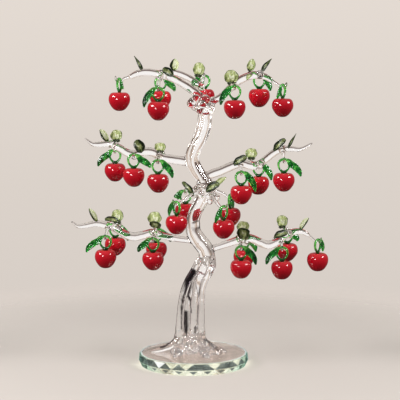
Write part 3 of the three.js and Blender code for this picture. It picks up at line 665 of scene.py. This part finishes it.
def clear_glass():
    """Colourless drawn glass with painted shade: brownish to dark where it is seen edge on, and darker in
    the rods near the foot and along their seams, for darker surroundings seen through it.
    """
    material, nodes, links, output = material_with("clear_drawn_glass")
    glass = shader_with(nodes, {"Transmission Weight": 1, "Roughness": 0, "IOR": 1.5})
    # Painted shade: brownish to dark brown edge on, for darker surroundings refracted at the glass's edges.
    painted_edge_shade = edge_ramp(nodes, links, [
        (0.0, (1, 1, 1)), (0.3, (0.99, 0.98, 0.97)), (0.5, (0.93, 0.87, 0.82)),
        (0.7, (0.74, 0.6, 0.5)), (1.0, (0.35, 0.22, 0.16)),
    ])
    # Painted shade where the tone attribute is set: darker edge on in the rods near the foot, for dark
    # surroundings seen through them.
    painted_shade = edge_ramp(nodes, links, [
        (0.0, (1, 1, 1)), (0.2, (0.97, 0.96, 0.96)), (0.36, (0.62, 0.57, 0.58)),
        (0.55, (0.22, 0.18, 0.19)), (1.0, (0.07, 0.05, 0.055)),
    ])
    plain = blended(nodes, links, "MIX", attribute(nodes, "tone")["Fac"], painted_edge_shade, painted_shade)
    # Painted shade along the seams between the rods.
    seamed = blended(nodes, links, "MIX", attribute(nodes, "seam")["Fac"], plain, SEAM_SHADE_COLOUR)
    links.new(seamed, glass.inputs["Base Color"])
    add_bump(nodes, links, varied(nodes, links, 90, 0)["Grain"], 0.3, glass)
    lit_through(nodes, links, glass, output, (0.86, 0.85, 0.84))
    return material


def green_glass(name, transmission, roughness, specular, tints, contrast, grain):
    """Green glass from a dark to a pale tint by the piece's own tone and a noise, darker seen edge on."""
    material, nodes, links, output = material_with(name)
    glass = shader_with(nodes, {
        "Transmission Weight": transmission, "Roughness": roughness, "Specular IOR Level": specular,
        "IOR": 1.5,
    })
    streaks = varied(nodes, links, 1, contrast, grain)
    tint = colour_ramp(nodes, links, streaks["Tone"], tints)
    rim = edge_ramp(nodes, links, [(0.0, (1, 1, 1)), (0.45, (0.9, 0.92, 0.88)), (0.9, (0.2, 0.28, 0.18))])
    links.new(blended(nodes, links, "MULTIPLY", 1, tint, rim), glass.inputs["Base Color"])
    add_bump(nodes, links, streaks["Grain"], 0.6, glass)
    lit_through(nodes, links, glass, output, (0.35, 0.6, 0.35))
    return material


def red_glass():
    """Opaque red glass under a clear gloss, with painted shade: darker towards the foot of the fruit and
    lighter on top.
    """
    material, nodes, links, output = material_with("red_cherry_glass")
    shader = shader_with(nodes, {
        "Roughness": 0.3, "Specular IOR Level": 0.02, "Coat Weight": 1, "Coat Roughness": 0.015,
    })
    tint = colour_ramp(nodes, links, varied(nodes, links, 140, 0.3)["Tone"], CHERRY_TONE_AND_SHADE_TINTS)
    links.new(tint, shader.inputs["Base Color"])
    links.new(shader.outputs["BSDF"], output.inputs["Surface"])
    return material


def hooks():
    """The stops of each hook's wire, and the places of the lumps where it is melted on the tree."""
    runs, lumps = [], []
    for number, (joint, (root, tip)) in enumerate(zip(frame["joints"], HANGERS), 1):
        low, out = Vector(joint["pos_m"]), Vector(joint["axis"])
        at_end = number in HOOKS_AT_LIMB_ENDS
        wire = [(place(root), HOOK_ROOT_AT_LIMB_END if at_end else HOOK_ROOT)]
        for along, rise, share in HOOK_SHAPE:
            spot = low + out * (along * HOOK_REACH) + Vector((0, 0, rise * HOOK_REACH))
            wire.append((spot, share * HOOK_WIRE))
        runs.append(wire)
        if not at_end:
            lumps += [near(place(root), MELT_LUMP_SPREAD) for lump in range(MELT_LUMPS_PER_HOOK)]
    return runs, lumps


def strand_stops(phase):
    """One of the strands that are twisted into the trunk."""
    stops = []
    for index, stop in enumerate(TRUNK_ROUTE):
        turn = phase + STRAND_TWIST * index / (len(TRUNK_ROUTE) - 1)
        offset = Vector((math.cos(turn), math.sin(turn), 0)) * STRAND_OFFSET * stop[3]
        stops.append((place(stop) + offset, stop[3] * STRAND_WIDTH))
    return stops


def cut_flat(bm, level):
    """Cuts away what lies below a level and closes the cut."""
    flat = bmesh.ops.bisect_plane(
        bm,
        geom=bm.verts[:] + bm.edges[:] + bm.faces[:],
        plane_co=(0, 0, level),
        plane_no=(0, 0, 1),
        clear_inner=True,
    )
    rim = [item for item in flat["geom_cut"] if isinstance(item, bmesh.types.BMEdge)]
    bmesh.ops.holes_fill(bm, edges=rim)


def root_lumps():
    """The places of the clear lumps heaped round the feet of the rods, most of them in front."""
    lumps = []
    for count in range(ROOT_LUMPS):
        turn, spread = count * GOLDEN_ANGLE, math.sqrt((count + 0.5) / ROOT_LUMPS)
        way = Vector((ROOT_LUMPS_ACROSS * math.cos(turn), ROOT_LUMPS_IN_DEPTH * math.sin(turn), 0))
        lift = Vector((0, 0, dice.uniform(-1, ROOT_LUMPS_RISE - ROOT_LUMPS_FALL * spread) * MM))
        lumps.append(place(ROOT_LUMPS_CENTRE) + way * spread * ROOT_LUMPS_REACH + lift)
    return lumps


def seam_shade_at(spot, line, reach):
    """How dark the painted shade along a line between the rods is at a spot, by how far the spot is from
    that line in front view.
    """
    gap = min(math.hypot(spot.x - stop.x, spot.z - stop.z) for stop, width in line)
    return clamped(2 * (1.2 - gap / reach))


def leaf_stalks(wires):
    """The stops of a short clear stalk from the nearest branch or hook up to each leaf's foot."""
    lines = [smooth_line(sized(route, BRANCH_WIDTH), 8) for route in LIMB_ROUTES]
    lines += [smooth_line(wire, 4) for wire in wires]
    grown = [stop for line in lines for stop, width in line]
    stalks = []
    for kind, foot, tip, width, faces in LEAVES:
        end = place(foot)
        start = min(grown, key=lambda stop: (stop - end).length)
        if (end - start).length > STALK_SHORTEST:
            stalks.append([(start, STALK_WIDTH), (end, 0.7 * STALK_WIDTH)])
    return stalks


def paint_rod_shade(bm):
    """Gives the tree's points their tone, the painted shade in the rods, and the painted shade of the seams
    between them.
    """
    tone = bm.verts.layers.float.new("tone")
    seam = bm.verts.layers.float.new("seam")
    seam_shades = [
        (smooth_line([(place((x, 0, height)), 1) for x, height in route], 12), width * MM / 2)
        for route, width in SEAM_SHADES
    ]
    fades_out = place((0, 0, FUSING_HEIGHT + ROD_SHADE_FADE)).z
    for vert in bm.verts:
        painted_shade = clamped((fades_out - vert.co.z) / (2 * ROD_SHADE_FADE * MM))
        from_lumps = min(1, (vert.co - place(ROOT_LUMPS_CENTRE)).length / ROOT_LUMPS_REACH)
        vert[tone] = painted_shade * (ROOT_LUMPS_SHADE + (1 - ROOT_LUMPS_SHADE) * from_lumps**3)
        if vert.co.z < place((0, 0, FUSING_HEIGHT)).z:
            vert[seam] = max(seam_shade_at(vert.co, line, reach) for line, reach in seam_shades)


def add_fused_tree(material):
    """All the clear glass above the disc, which is fused into one piece on the real tree."""
    wires, melt_lumps = hooks()
    runs = [sized(route, ROD_WIDTH) for route in ROD_ROUTES]
    runs += [sized(route, ROOT_WIDTH) for route in ROOT_ROUTES]
    runs += [strand_stops(FULL_TURN * strand / STRANDS) for strand in range(STRANDS)]
    runs.append(sized(TRUNK_ROUTE, CORE_WIDTH))
    runs.append(sized(TRUNK_ROUTE[:TRUNK_FOOT_STOPS], TRUNK_FOOT_WIDTH))
    runs += [sized(route, BRANCH_WIDTH) for route in LIMB_ROUTES]
    runs += wires + leaf_stalks(wires)
    bm = bmesh.new()
    add_tubes(bm, runs)
    bmesh.ops.remove_doubles(bm, verts=bm.verts, dist=TINY)
    for lump in melt_lumps:
        add_ball(bm, lump, dice.uniform(*MELT_LUMP_SHARES) * MELT_LUMP_WIDTH)
    for lump in CROWN_LUMPS:
        add_ball(bm, place(lump), CROWN_LUMP_WIDTH)
    for lump in SMALL_LUMPS:
        add_ball(bm, place(lump), dice.uniform(*SMALL_LUMP_SHARES) * SMALL_LUMP_WIDTH)
    for lump in root_lumps():
        add_ball(bm, lump, dice.uniform(*ROOT_LUMP_WIDTHS) * MM)
    add_ball(bm, place(KNOT), KNOT_WIDTH)
    bm = melted(bm, TREE_VOXEL, TREE_SMOOTHING)
    ripple(bm, *GLASS_RIPPLE)
    ripple(bm, *LUMP_RIPPLE, [place(KNOT)] + [place(lump) for lump in CROWN_LUMPS], LUMP_RIPPLE_REACH)
    ripple(bm, *ROOT_RIPPLE, [place(ROOT_LUMPS_CENTRE)], 1.15 * ROOT_LUMPS_REACH)
    cut_flat(bm, DISC_TOP + GLUE_LINE)
    paint_rod_shade(bm)
    stands_for = ["trunk_lower", "trunk_upper", "crown"]
    stands_for += [f"branch_{level}_{side}" for level in ("lower", "middle") for side in ("left", "right")]
    finished("fused_glass_tree", bm, [material], "tree", stands_for)


def blade(line, faces, cup, thickness, ribs, rib_height, ridges, ridge_height, unevenness=0):
    """A closed blade of lens section along (point, width) pairs, ribbed along and ridged across."""
    chance = dice.uniform(0, 100)
    bm = bmesh.new()
    bmesh.ops.create_uvsphere(bm, u_segments=BLADE_STEPS_ROUND, v_segments=BLADE_STEPS_ALONG, radius=1)
    faces = faces.normalized()
    last = len(line) - 1
    grain = bm.verts.layers.float_vector.new("grain")
    for vert in bm.verts:
        climb = math.asin(max(-1, min(1, vert.co.z)))
        girth = max(math.cos(climb), TINY)
        side, deep = vert.co.x / girth, vert.co.y / girth
        along = 0.5 + climb / math.pi
        index = min(int(along * last), last - 1)
        share = along * last - index
        (start, start_width), (end, end_width) = line[index], line[index + 1]
        tangent = (end - start).normalized()
        out = (faces - tangent * faces.dot(tangent)).normalized()
        sway = noise.noise((4 * along, 1.3 * side, chance)) * unevenness
        width = (start_width + (end_width - start_width) * share) * (1 + sway)
        rib = math.cos(ribs * math.pi * side) * rib_height
        ridge = math.cos(FULL_TURN * (ridges * along - 1.3 * abs(side))) * ridge_height
        relief = (rib + ridge) * (1 - side * side) * deep
        lift = (cup * side * side + sway / 3) * width + relief + deep * thickness / 2
        vert[grain] = (side, along, deep)
        vert.co = start.lerp(end, share) + tangent.cross(out) * (side * width / 2) + out * lift
    for pole in [vert for vert in bm.verts if len(vert.link_faces) == BLADE_STEPS_ROUND]:
        pole.co = sum((edge.other_vert(pole).co for edge in pole.link_edges), Vector()) / BLADE_STEPS_ROUND
    face_outwards(bm)
    return bm


def leaf_tone(kind, side, along):
    """How pale a leaf's glass is at a place, from 0 to 1."""
    if kind in ("fan", "pale"):
        rim = max(0, abs(side) - 0.8) / 0.2 + max(0, along - 0.9) / 0.1
        return 0.1 + 0.66 * clamped((along - 0.1) * 8) - 0.4 * rim
    if kind == "bowl":
        return 0.62 * clamped((0.8 - along) * 6) * (1 - side * side)
    if kind in ("dark", "thin"):
        return (0.36 if kind == "thin" else 0.52) * max(0, 1 - 1.2 * abs(side)) * min(1, 4 * along)
    dark_side = side if kind == "right_edged" else -side
    return clamped((0.5 - dark_side) * 5) * clamped((along - 0.08) * 8)


def add_toned(bm, part, tone_of):
    """Joins one blade into bm, toned by its places along and across."""
    tone = part.verts.layers.float.new("tone")
    grain = part.verts.layers.float_vector["grain"]
    for vert in part.verts:
        vert[tone] = tone_of(vert[grain].x, vert[grain].y)
    join_into(bm, part)


def add_leaf(number, leaf, material):
    """One leaf on a branch, with a folded foot where it is a fan."""
    kind, foot, tip, width, faces = leaf
    start, end, facing = place(foot), place(tip), Vector(faces).normalized()
    length, wide = (end - start).length, width * MM
    stops = []
    for along, share in OUTLINES[kind]:
        bow = facing * math.sin(math.pi * along) * length / LEAF_LENGTHS_PER_BOW
        stops.append((start.lerp(end, along) + bow, share * wide))
    bm = bmesh.new()
    cup = OPEN_LEAF_CUP if kind in ("fan", "bowl") else CLOSED_LEAF_CUP
    main = blade(smooth_line(stops, 3), facing, cup=cup, **LEAF_BLADE)
    add_toned(bm, main, lambda side, along: leaf_tone(kind, side, along))
    if kind == "fan":
        up = (end - start).normalized()
        across, collar = up.cross(facing).normalized(), start.lerp(end, 0.05) + facing * 0.8 * MM
        curl = [
            (collar + across * (reach * wide) + up * (rise * MM), share * LEAF_CURL_WIDTH)
            for reach, rise, share in CURL
        ]
        add_toned(bm, blade(smooth_line(curl, 3), facing, **CURL_BLADE), lambda side, along: LEAF_CURL_TONE)
    finished(f"branch_leaf_{number:02d}", bm, [material], "tree")


def in_loop(x, rise):
    """A point in the plane of a loop that hangs from the origin, its height from the loop's centre."""
    return Vector((x, 0, rise - LOOP_DROP))


def loop_bmesh(tip):
    """A green loop with its stem and drooping leaf, hanging from the origin, seen from the hook's tip."""
    bm = bmesh.new()
    upright = Matrix.Translation((LOOP_RADIUS, 0, 0)) @ Matrix.Rotation(math.pi / 2, 4, "X")
    bmesh.ops.create_circle(bm, segments=LOOP_WIRE_SIDES, radius=LOOP_WIRE / 2, matrix=upright)
    spin_round(bm, bm.verts[:] + bm.edges[:], LOOP_STEPS_ROUND)
    bmesh.ops.rotate(bm, verts=bm.verts, cent=(0, 0, 0), matrix=Matrix.Rotation(math.pi / 2, 3, "X"))
    for vert in bm.verts:
        vert.co.x *= 1 - LOOP_NARROWING * (1 - vert.co.z / LOOP_RADIUS) / 2
        vert.co.z -= LOOP_DROP
    face_outwards(bm)
    foot = Vector((0, 0, -STEM_FOOT_DROP))
    waist, elbow = foot + Vector((0, 0, STEM_WAIST_RISE)), foot + Vector((0, 0, STEM_ARM_RISE))
    runs = [[(foot, STEM_WIDTH), (waist, STEM_WAIST_WIDTH), (in_loop(0, -LOOP_RADIUS), STEM_WIDTH)]]
    for reach in (-STEM_ARM_REACH, STEM_ARM_REACH):
        shoulder = in_loop(reach * LOOP_RADIUS, -STEM_ARM_REACH * LOOP_RADIUS)
        runs.append([(elbow, STEM_ARM_WIDTH), (shoulder, 0.8 * LOOP_WIRE)])
    add_tubes(bm, runs)
    side, drop = tip[0] * MM, tip[1] * MM
    way = math.copysign(LOOP_RADIUS, side)
    out = LOOP_LEAF_OUT * way
    stops = [
        (in_loop(0.35 * way, 0.98 * LOOP_RADIUS), 0.35 * LOOP_LEAF_WIDTH),
        (in_loop(0.78 * way, 0.7 * LOOP_RADIUS), 0.72 * LOOP_LEAF_WIDTH),
        (in_loop(out, 0.28 * LOOP_RADIUS), 0.95 * LOOP_LEAF_WIDTH),
        (in_loop(out + 0.4 * (side - way), -0.12 * drop), LOOP_LEAF_WIDTH),
        (in_loop(out + 0.76 * (side - way), -0.52 * drop), 0.8 * LOOP_LEAF_WIDTH),
        (in_loop(side, -drop), 0.16 * LOOP_LEAF_WIDTH),
    ]
    join_into(bm, blade(smooth_line(stops, 4), Vector((0, -1, 0)), **LOOP_LEAF_BLADE))
    bmesh.ops.remove_doubles(bm, verts=bm.verts, dist=TINY)
    return melted(bm, LOOP_VOXEL, LOOP_SMOOTHING)


def hang(joint):
    """The transform that hangs a shape made round the origin on a joint's hook."""
    axis = Vector(joint["axis"])
    return Matrix.Translation(joint["pos_m"]) @ Matrix.Rotation(math.atan2(axis.x, -axis.y), 4, "Z")


def add_loop(number, joint, tip, material):
    """One green loop on its hook, pale on the loop, dark in the stem and where the leaf joins it."""
    bm = loop_bmesh(tip)
    tone = bm.verts.layers.float.new("tone")
    grain = bm.verts.layers.float_vector.new("grain")
    way = math.copysign(1, tip[0])
    leaf_joint = in_loop(LOOP_LEAF_OUT * way * LOOP_RADIUS, 0.1 * LOOP_RADIUS)
    leaf_tip_tone = dice.uniform(*LOOP_LEAF_TIP_TONES)
    for vert in bm.verts:
        leafiness = clamped((way * vert.co.x - 1.3 * LOOP_RADIUS) / LOOP_LEAF_FADE)
        rise = clamped(1 + (vert.co.z + LOOP_DROP + 0.3 * LOOP_RADIUS) / LOOP_STEM_FADE)
        gap = (vert.co - leaf_joint).length / LOOP_JOINT_REACH
        bare = 0.04 + 0.72 * rise * (1 - 0.75 * max(0, 1 - gap))
        vert[tone] = bare + (leaf_tip_tone - bare) * leafiness
        vert[grain] = vert.co / LOOP_GRAIN
    bmesh.ops.transform(bm, matrix=hang(joint), verts=bm.verts)
    node = f"cherry_loop_{number:02d}"
    finished(f"green_loop_{number:02d}", bm, [material], joint["child"], [node])


def cherry_bmesh():
    """A fruit about its own centre, with wide shoulders and a dimple, each a little different."""
    radius, half = CHERRY_WIDTH / 2, CHERRY_HEIGHT / 2
    narrowing, lean = dice.uniform(*CHERRY_NARROWINGS), dice.uniform(*CHERRY_LEANS)
    depth = dice.uniform(*CHERRY_DEPTHS)
    bm = bmesh.new()
    line = smooth_line([(Vector((across * radius, 0, up * half)), 0) for across, up in CHERRY_OUTLINE], 3)
    verts = [bm.verts.new(spot) for spot, width in line]
    edges = [bm.edges.new(pair) for pair in zip(verts, verts[1:])]
    spin_round(bm, verts + edges, CHERRY_STEPS_ROUND)
    bmesh.ops.remove_doubles(bm, verts=bm.verts, dist=TINY)
    face_outwards(bm)
    tone = bm.verts.layers.float.new("tone")
    for vert in bm.verts:
        rise = vert.co.z / half
        # Painted shade: the tone rises towards the top of the fruit, so it is lighter on top and darker at
        # its foot; depth darkens the whole fruit at random.
        vert[tone] = 0.5 - depth + 0.4 * (rise + 1) / 2
        share = 1 - narrowing * max(0, -rise - 0.1)
        vert.co.x = vert.co.x * share + lean * min(0, vert.co.z)
        vert.co.y *= share
    return bm


def add_cherry(number, joint, material):
    """One cherry in the place of its solid, turned its own way."""
    node = f"cherry_{number:02d}"
    low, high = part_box(node)
    bm = cherry_bmesh()
    bmesh.ops.rotate(bm, verts=bm.verts, cent=(0, 0, 0), matrix=Matrix.Rotation(number, 3, "Z"))
    bmesh.ops.translate(bm, verts=bm.verts, vec=(low + high) / 2)
    finished(f"glass_{node}", bm, [material], joint["child"], [node])


def rim_glass(name, transmission, low, high, edge):
    """Cut glass, tinted between two tones of painted shade or painted reflection where light enters it,
    with a colour of its own edge on.
    """
    material, nodes, links, output = material_with(name)
    glass = shader_with(nodes, {"Transmission Weight": transmission, "Roughness": 0.02, "IOR": 1.52})
    tones = colour_ramp(nodes, links, varied(nodes, links, 120, 0)["Grain"], [(0.38, low), (0.62, high)])
    rim = edge_ramp(nodes, links, [(0.0, (1, 1, 1)), (0.35, (1, 1, 1)), (0.75, edge)], 0.5)
    entered = blended(nodes, links, "MULTIPLY", 1, tones, rim)
    side = nodes.new("ShaderNodeNewGeometry")
    tint = blended(nodes, links, "MIX", side.outputs["Backfacing"], entered, DISC_GLASS_INSIDE)
    links.new(tint, glass.inputs["Base Color"])
    lit_through(nodes, links, glass, output, (0.8, 0.82, 0.8))
    return material


def add_cut_disc():
    """The cut glass disc, with triangular cuts below and above its girdle and a bright rim on top, all one
    crystal whose glasses carry painted shade, painted dark and bright reflections and a painted highlight.
    """
    rings = [
        (0, DISC_FOOT_WIDTH, 0), (DISC_GIRDLE_LEVEL, DISC_GIRDLE_WIDTH, 0.5),
        (DISC_TOP - DISC_EDGE, DISC_TOP_WIDTH, 0), (DISC_TOP, DISC_TOP_WIDTH - 2 * DISC_EDGE, 0),
    ]
    bm = bmesh.new()
    hoops = []
    for level, width, turn in rings:
        spun = Matrix.Translation((0, 0, level)) @ Matrix.Rotation(FULL_TURN * turn / DISC_CUTS, 4, "Z")
        ring = bmesh.ops.create_circle(bm, segments=DISC_CUTS, radius=width / 2, matrix=spun)
        hoops.append({edge for vert in ring["verts"] for edge in vert.link_edges})
    crystal, dark, white, pale, bright = range(len(DISC_GLASSES))
    lower, upper, bevel = [
        bmesh.ops.bridge_loops(bm, edges=list(low | high))["faces"] for low, high in zip(hoops, hoops[1:])
    ]
    # The thin bevel round the top edge is pale glass, a painted highlight line.
    for face in bevel:
        face.material_index = pale
    flecks = []
    # Each cut gets dark, white or pale green glass, as painted reflections of dark and bright surroundings;
    # the dark flecks below get pale rims.
    cuts = [(lower, 0, [pale], [dark]), (upper, DISC_GIRDLE_LEVEL, [dark], [white, pale, dark])]
    for row, level, standing, hanging in cuts:
        for face in bmesh.ops.triangulate(bm, faces=row, quad_method="SHORT_EDGE")["faces"]:
            stands = sum(vert.co.z > level + MM for vert in face.verts) == 1
            face.material_index = dice.choice(standing if stands else hanging)
            if row is lower and not stands:
                flecks.append(face)
    inset = bmesh.ops.inset_individual(bm, faces=flecks, thickness=DISC_FLECK_RIM, use_even_offset=True)
    for face in inset["faces"]:
        face.material_index = pale
    for hoop in (hoops[0], hoops[-1]):
        cap = bmesh.ops.contextual_create(bm, geom=list(hoop))["faces"]
        for face in cap:
            face.material_index = crystal
    # A rim inset on the top is bright glass, a painted highlight.
    inset = bmesh.ops.inset_region(bm, faces=cap, thickness=DISC_TOP_RIM, use_even_offset=True)
    for face in inset["faces"]:
        face.material_index = bright
    face_outwards(bm)
    glasses = [rim_glass(*facts) for facts in DISC_GLASSES]
    finished("cut_disc", bm, glasses, "tree", ["base_disc"], smooth=False)


def add_floor():
    """A pale round floor that fades out at its edge."""
    bm = bmesh.new()
    low = Matrix.Translation((0, 0, -FLOOR_DROP))
    bmesh.ops.create_circle(bm, cap_ends=True, segments=FLOOR_SIDES, radius=FLOOR_RADIUS, matrix=low)
    floor = new_object("floor", bm)
    material, nodes, links, output = material_with("pale_floor")
    where = nodes.new("ShaderNodeTexCoord")
    length = nodes.new("ShaderNodeVectorMath")
    length.operation = "LENGTH"
    links.new(where.outputs["Object"], length.inputs[0])
    fade = nodes.new("ShaderNodeMapRange")
    fade.interpolation_type = "SMOOTHSTEP"
    fade.inputs["From Min"].default_value = FLOOR_FADES_FROM
    fade.inputs["From Max"].default_value = FLOOR_FADES_TO
    links.new(length.outputs["Value"], fade.inputs["Value"])
    path = nodes.new("ShaderNodeLightPath")
    paint = nodes.new("ShaderNodeBsdfDiffuse")
    in_gloss = path.outputs["Is Reflection Ray"]
    tone = blended(nodes, links, "MIX", in_gloss, FLOOR_COLOUR, FLOOR_COLOUR_IN_GLOSS)
    links.new(tone, paint.inputs["Color"])
    see_through(nodes, links, fade.outputs["Result"], paint, output, (1, 1, 1))
    floor.data.materials.append(material)


def add_lamp(name, way, width, height, radiance):
    """A soft lamp in a direction, aimed at the middle of the tree, and not seen itself."""
    lamp = bpy.data.lights.new(name, "AREA")
    lamp.shape = "RECTANGLE"
    lamp.size, lamp.size_y = width, height
    lamp.energy = radiance * math.pi * width * height
    holder = in_scene(name, lamp)
    direction = Vector(way).normalized()
    holder.location = Vector(LAMP_AIM) + direction * LAMP_DISTANCE
    holder.rotation_euler = direction.to_track_quat("Z", "Y").to_euler()
    holder.visible_camera = False


def add_world():
    """A plain pale backdrop for the camera, even light for surfaces, and a room of panes for the glass."""
    world = bpy.data.worlds.new("studio")
    bpy.context.scene.world = world
    world.use_nodes = True
    nodes, links = world.node_tree.nodes, world.node_tree.links
    nodes.clear()
    where = nodes.new("ShaderNodeTexCoord")
    way = nodes.new("ShaderNodeSeparateXYZ")
    links.new(where.outputs["Generated"], way.inputs["Vector"])
    bearing = maths(nodes, links, "ARCTAN2", way.outputs["X"], way.outputs["Y"])
    pane = maths(nodes, links, "MULTIPLY", bearing, ROOM_PANES / FULL_TURN)
    across = maths(nodes, links, "MULTIPLY", maths(nodes, links, "PINGPONG", pane, 0.5), 2)
    rise = maths(nodes, links, "MULTIPLY_ADD", way.outputs["Z"], 0.5, 0.5)
    wall = colour_ramp(nodes, links, across, [
        (0.0, (0.96, 0.93, 0.91)), (0.6, (0.94, 0.9, 0.87)), (0.64, (0.5, 0.36, 0.28)),
        (0.68, (0.84, 0.73, 0.64)), (0.88, (0.78, 0.65, 0.55)), (0.94, (0.3, 0.2, 0.15)),
        (1.0, (0.22, 0.16, 0.13)),
    ])
    band = colour_ramp(nodes, links, rise, [
        (0.0, (0.55, 0.5, 0.48)), (0.26, (0.4, 0.34, 0.32)), (0.3, (0.12, 0.085, 0.075)),
        (0.37, (0.14, 0.1, 0.09)), (0.42, (0.9, 0.87, 0.85)), (0.5, (1, 1, 1)), (0.78, (1, 1, 1)),
        (0.81, (0.5, 0.42, 0.36)), (0.84, (1.06, 1.06, 1.07)), (1.0, (1.12, 1.12, 1.14)),
    ])
    room = blended(nodes, links, "MULTIPLY", 1, wall, band)
    gloss = colour_ramp(nodes, links, rise, [
        (0.0, (0.07, 0.065, 0.06)), (0.5, (0.17, 0.155, 0.15)), (0.75, (0.3, 0.28, 0.27)),
        (1.0, (0.6, 0.6, 0.6)),
    ])
    backdrop = colour_ramp(nodes, links, rise, [
        (0.38, (0.665, 0.605, 0.555)), (0.46, (0.71, 0.645, 0.59)), (0.54, (0.78, 0.71, 0.65)),
        (0.66, (0.86, 0.81, 0.78)),
    ])
    path = nodes.new("ShaderNodeLightPath")
    through = blended(nodes, links, "MIX", path.outputs["Is Reflection Ray"], room, gloss)
    seen = blended(nodes, links, "MIX", path.outputs["Is Camera Ray"], through, backdrop)
    light = blended(nodes, links, "MIX", path.outputs["Is Diffuse Ray"], seen, EVEN_LIGHT)
    background = nodes.new("ShaderNodeBackground")
    output = nodes.new("ShaderNodeOutputWorld")
    links.new(light, background.inputs["Color"])
    links.new(background.outputs["Background"], output.inputs["Surface"])


variation = variation_group()
add_camera()
bpy.context.scene.view_settings.view_transform = "Standard"
add_world()
for lamp_facts in LAMPS:
    add_lamp(*lamp_facts)
add_floor()
add_cut_disc()
add_fused_tree(clear_glass())
leaf_green = green_glass("leaf_green_glass", 0.35, 0.28, 0.25, LEAF_TINTS, 2.2, LEAF_GRAIN)
loop_green = green_glass("loop_green_glass", 0.8, 0.04, 0.5, LOOP_TINTS, 1.8, (1, 1, 1))
red = red_glass()
for count, leaf_facts in enumerate(LEAVES, 1):
    add_leaf(count, leaf_facts, leaf_green)
for count, (hinge, (root_spot, leaf_tip)) in enumerate(zip(frame["joints"], HANGERS), 1):
    add_loop(count, hinge, leaf_tip, loop_green)
    add_cherry(count, hinge, red)
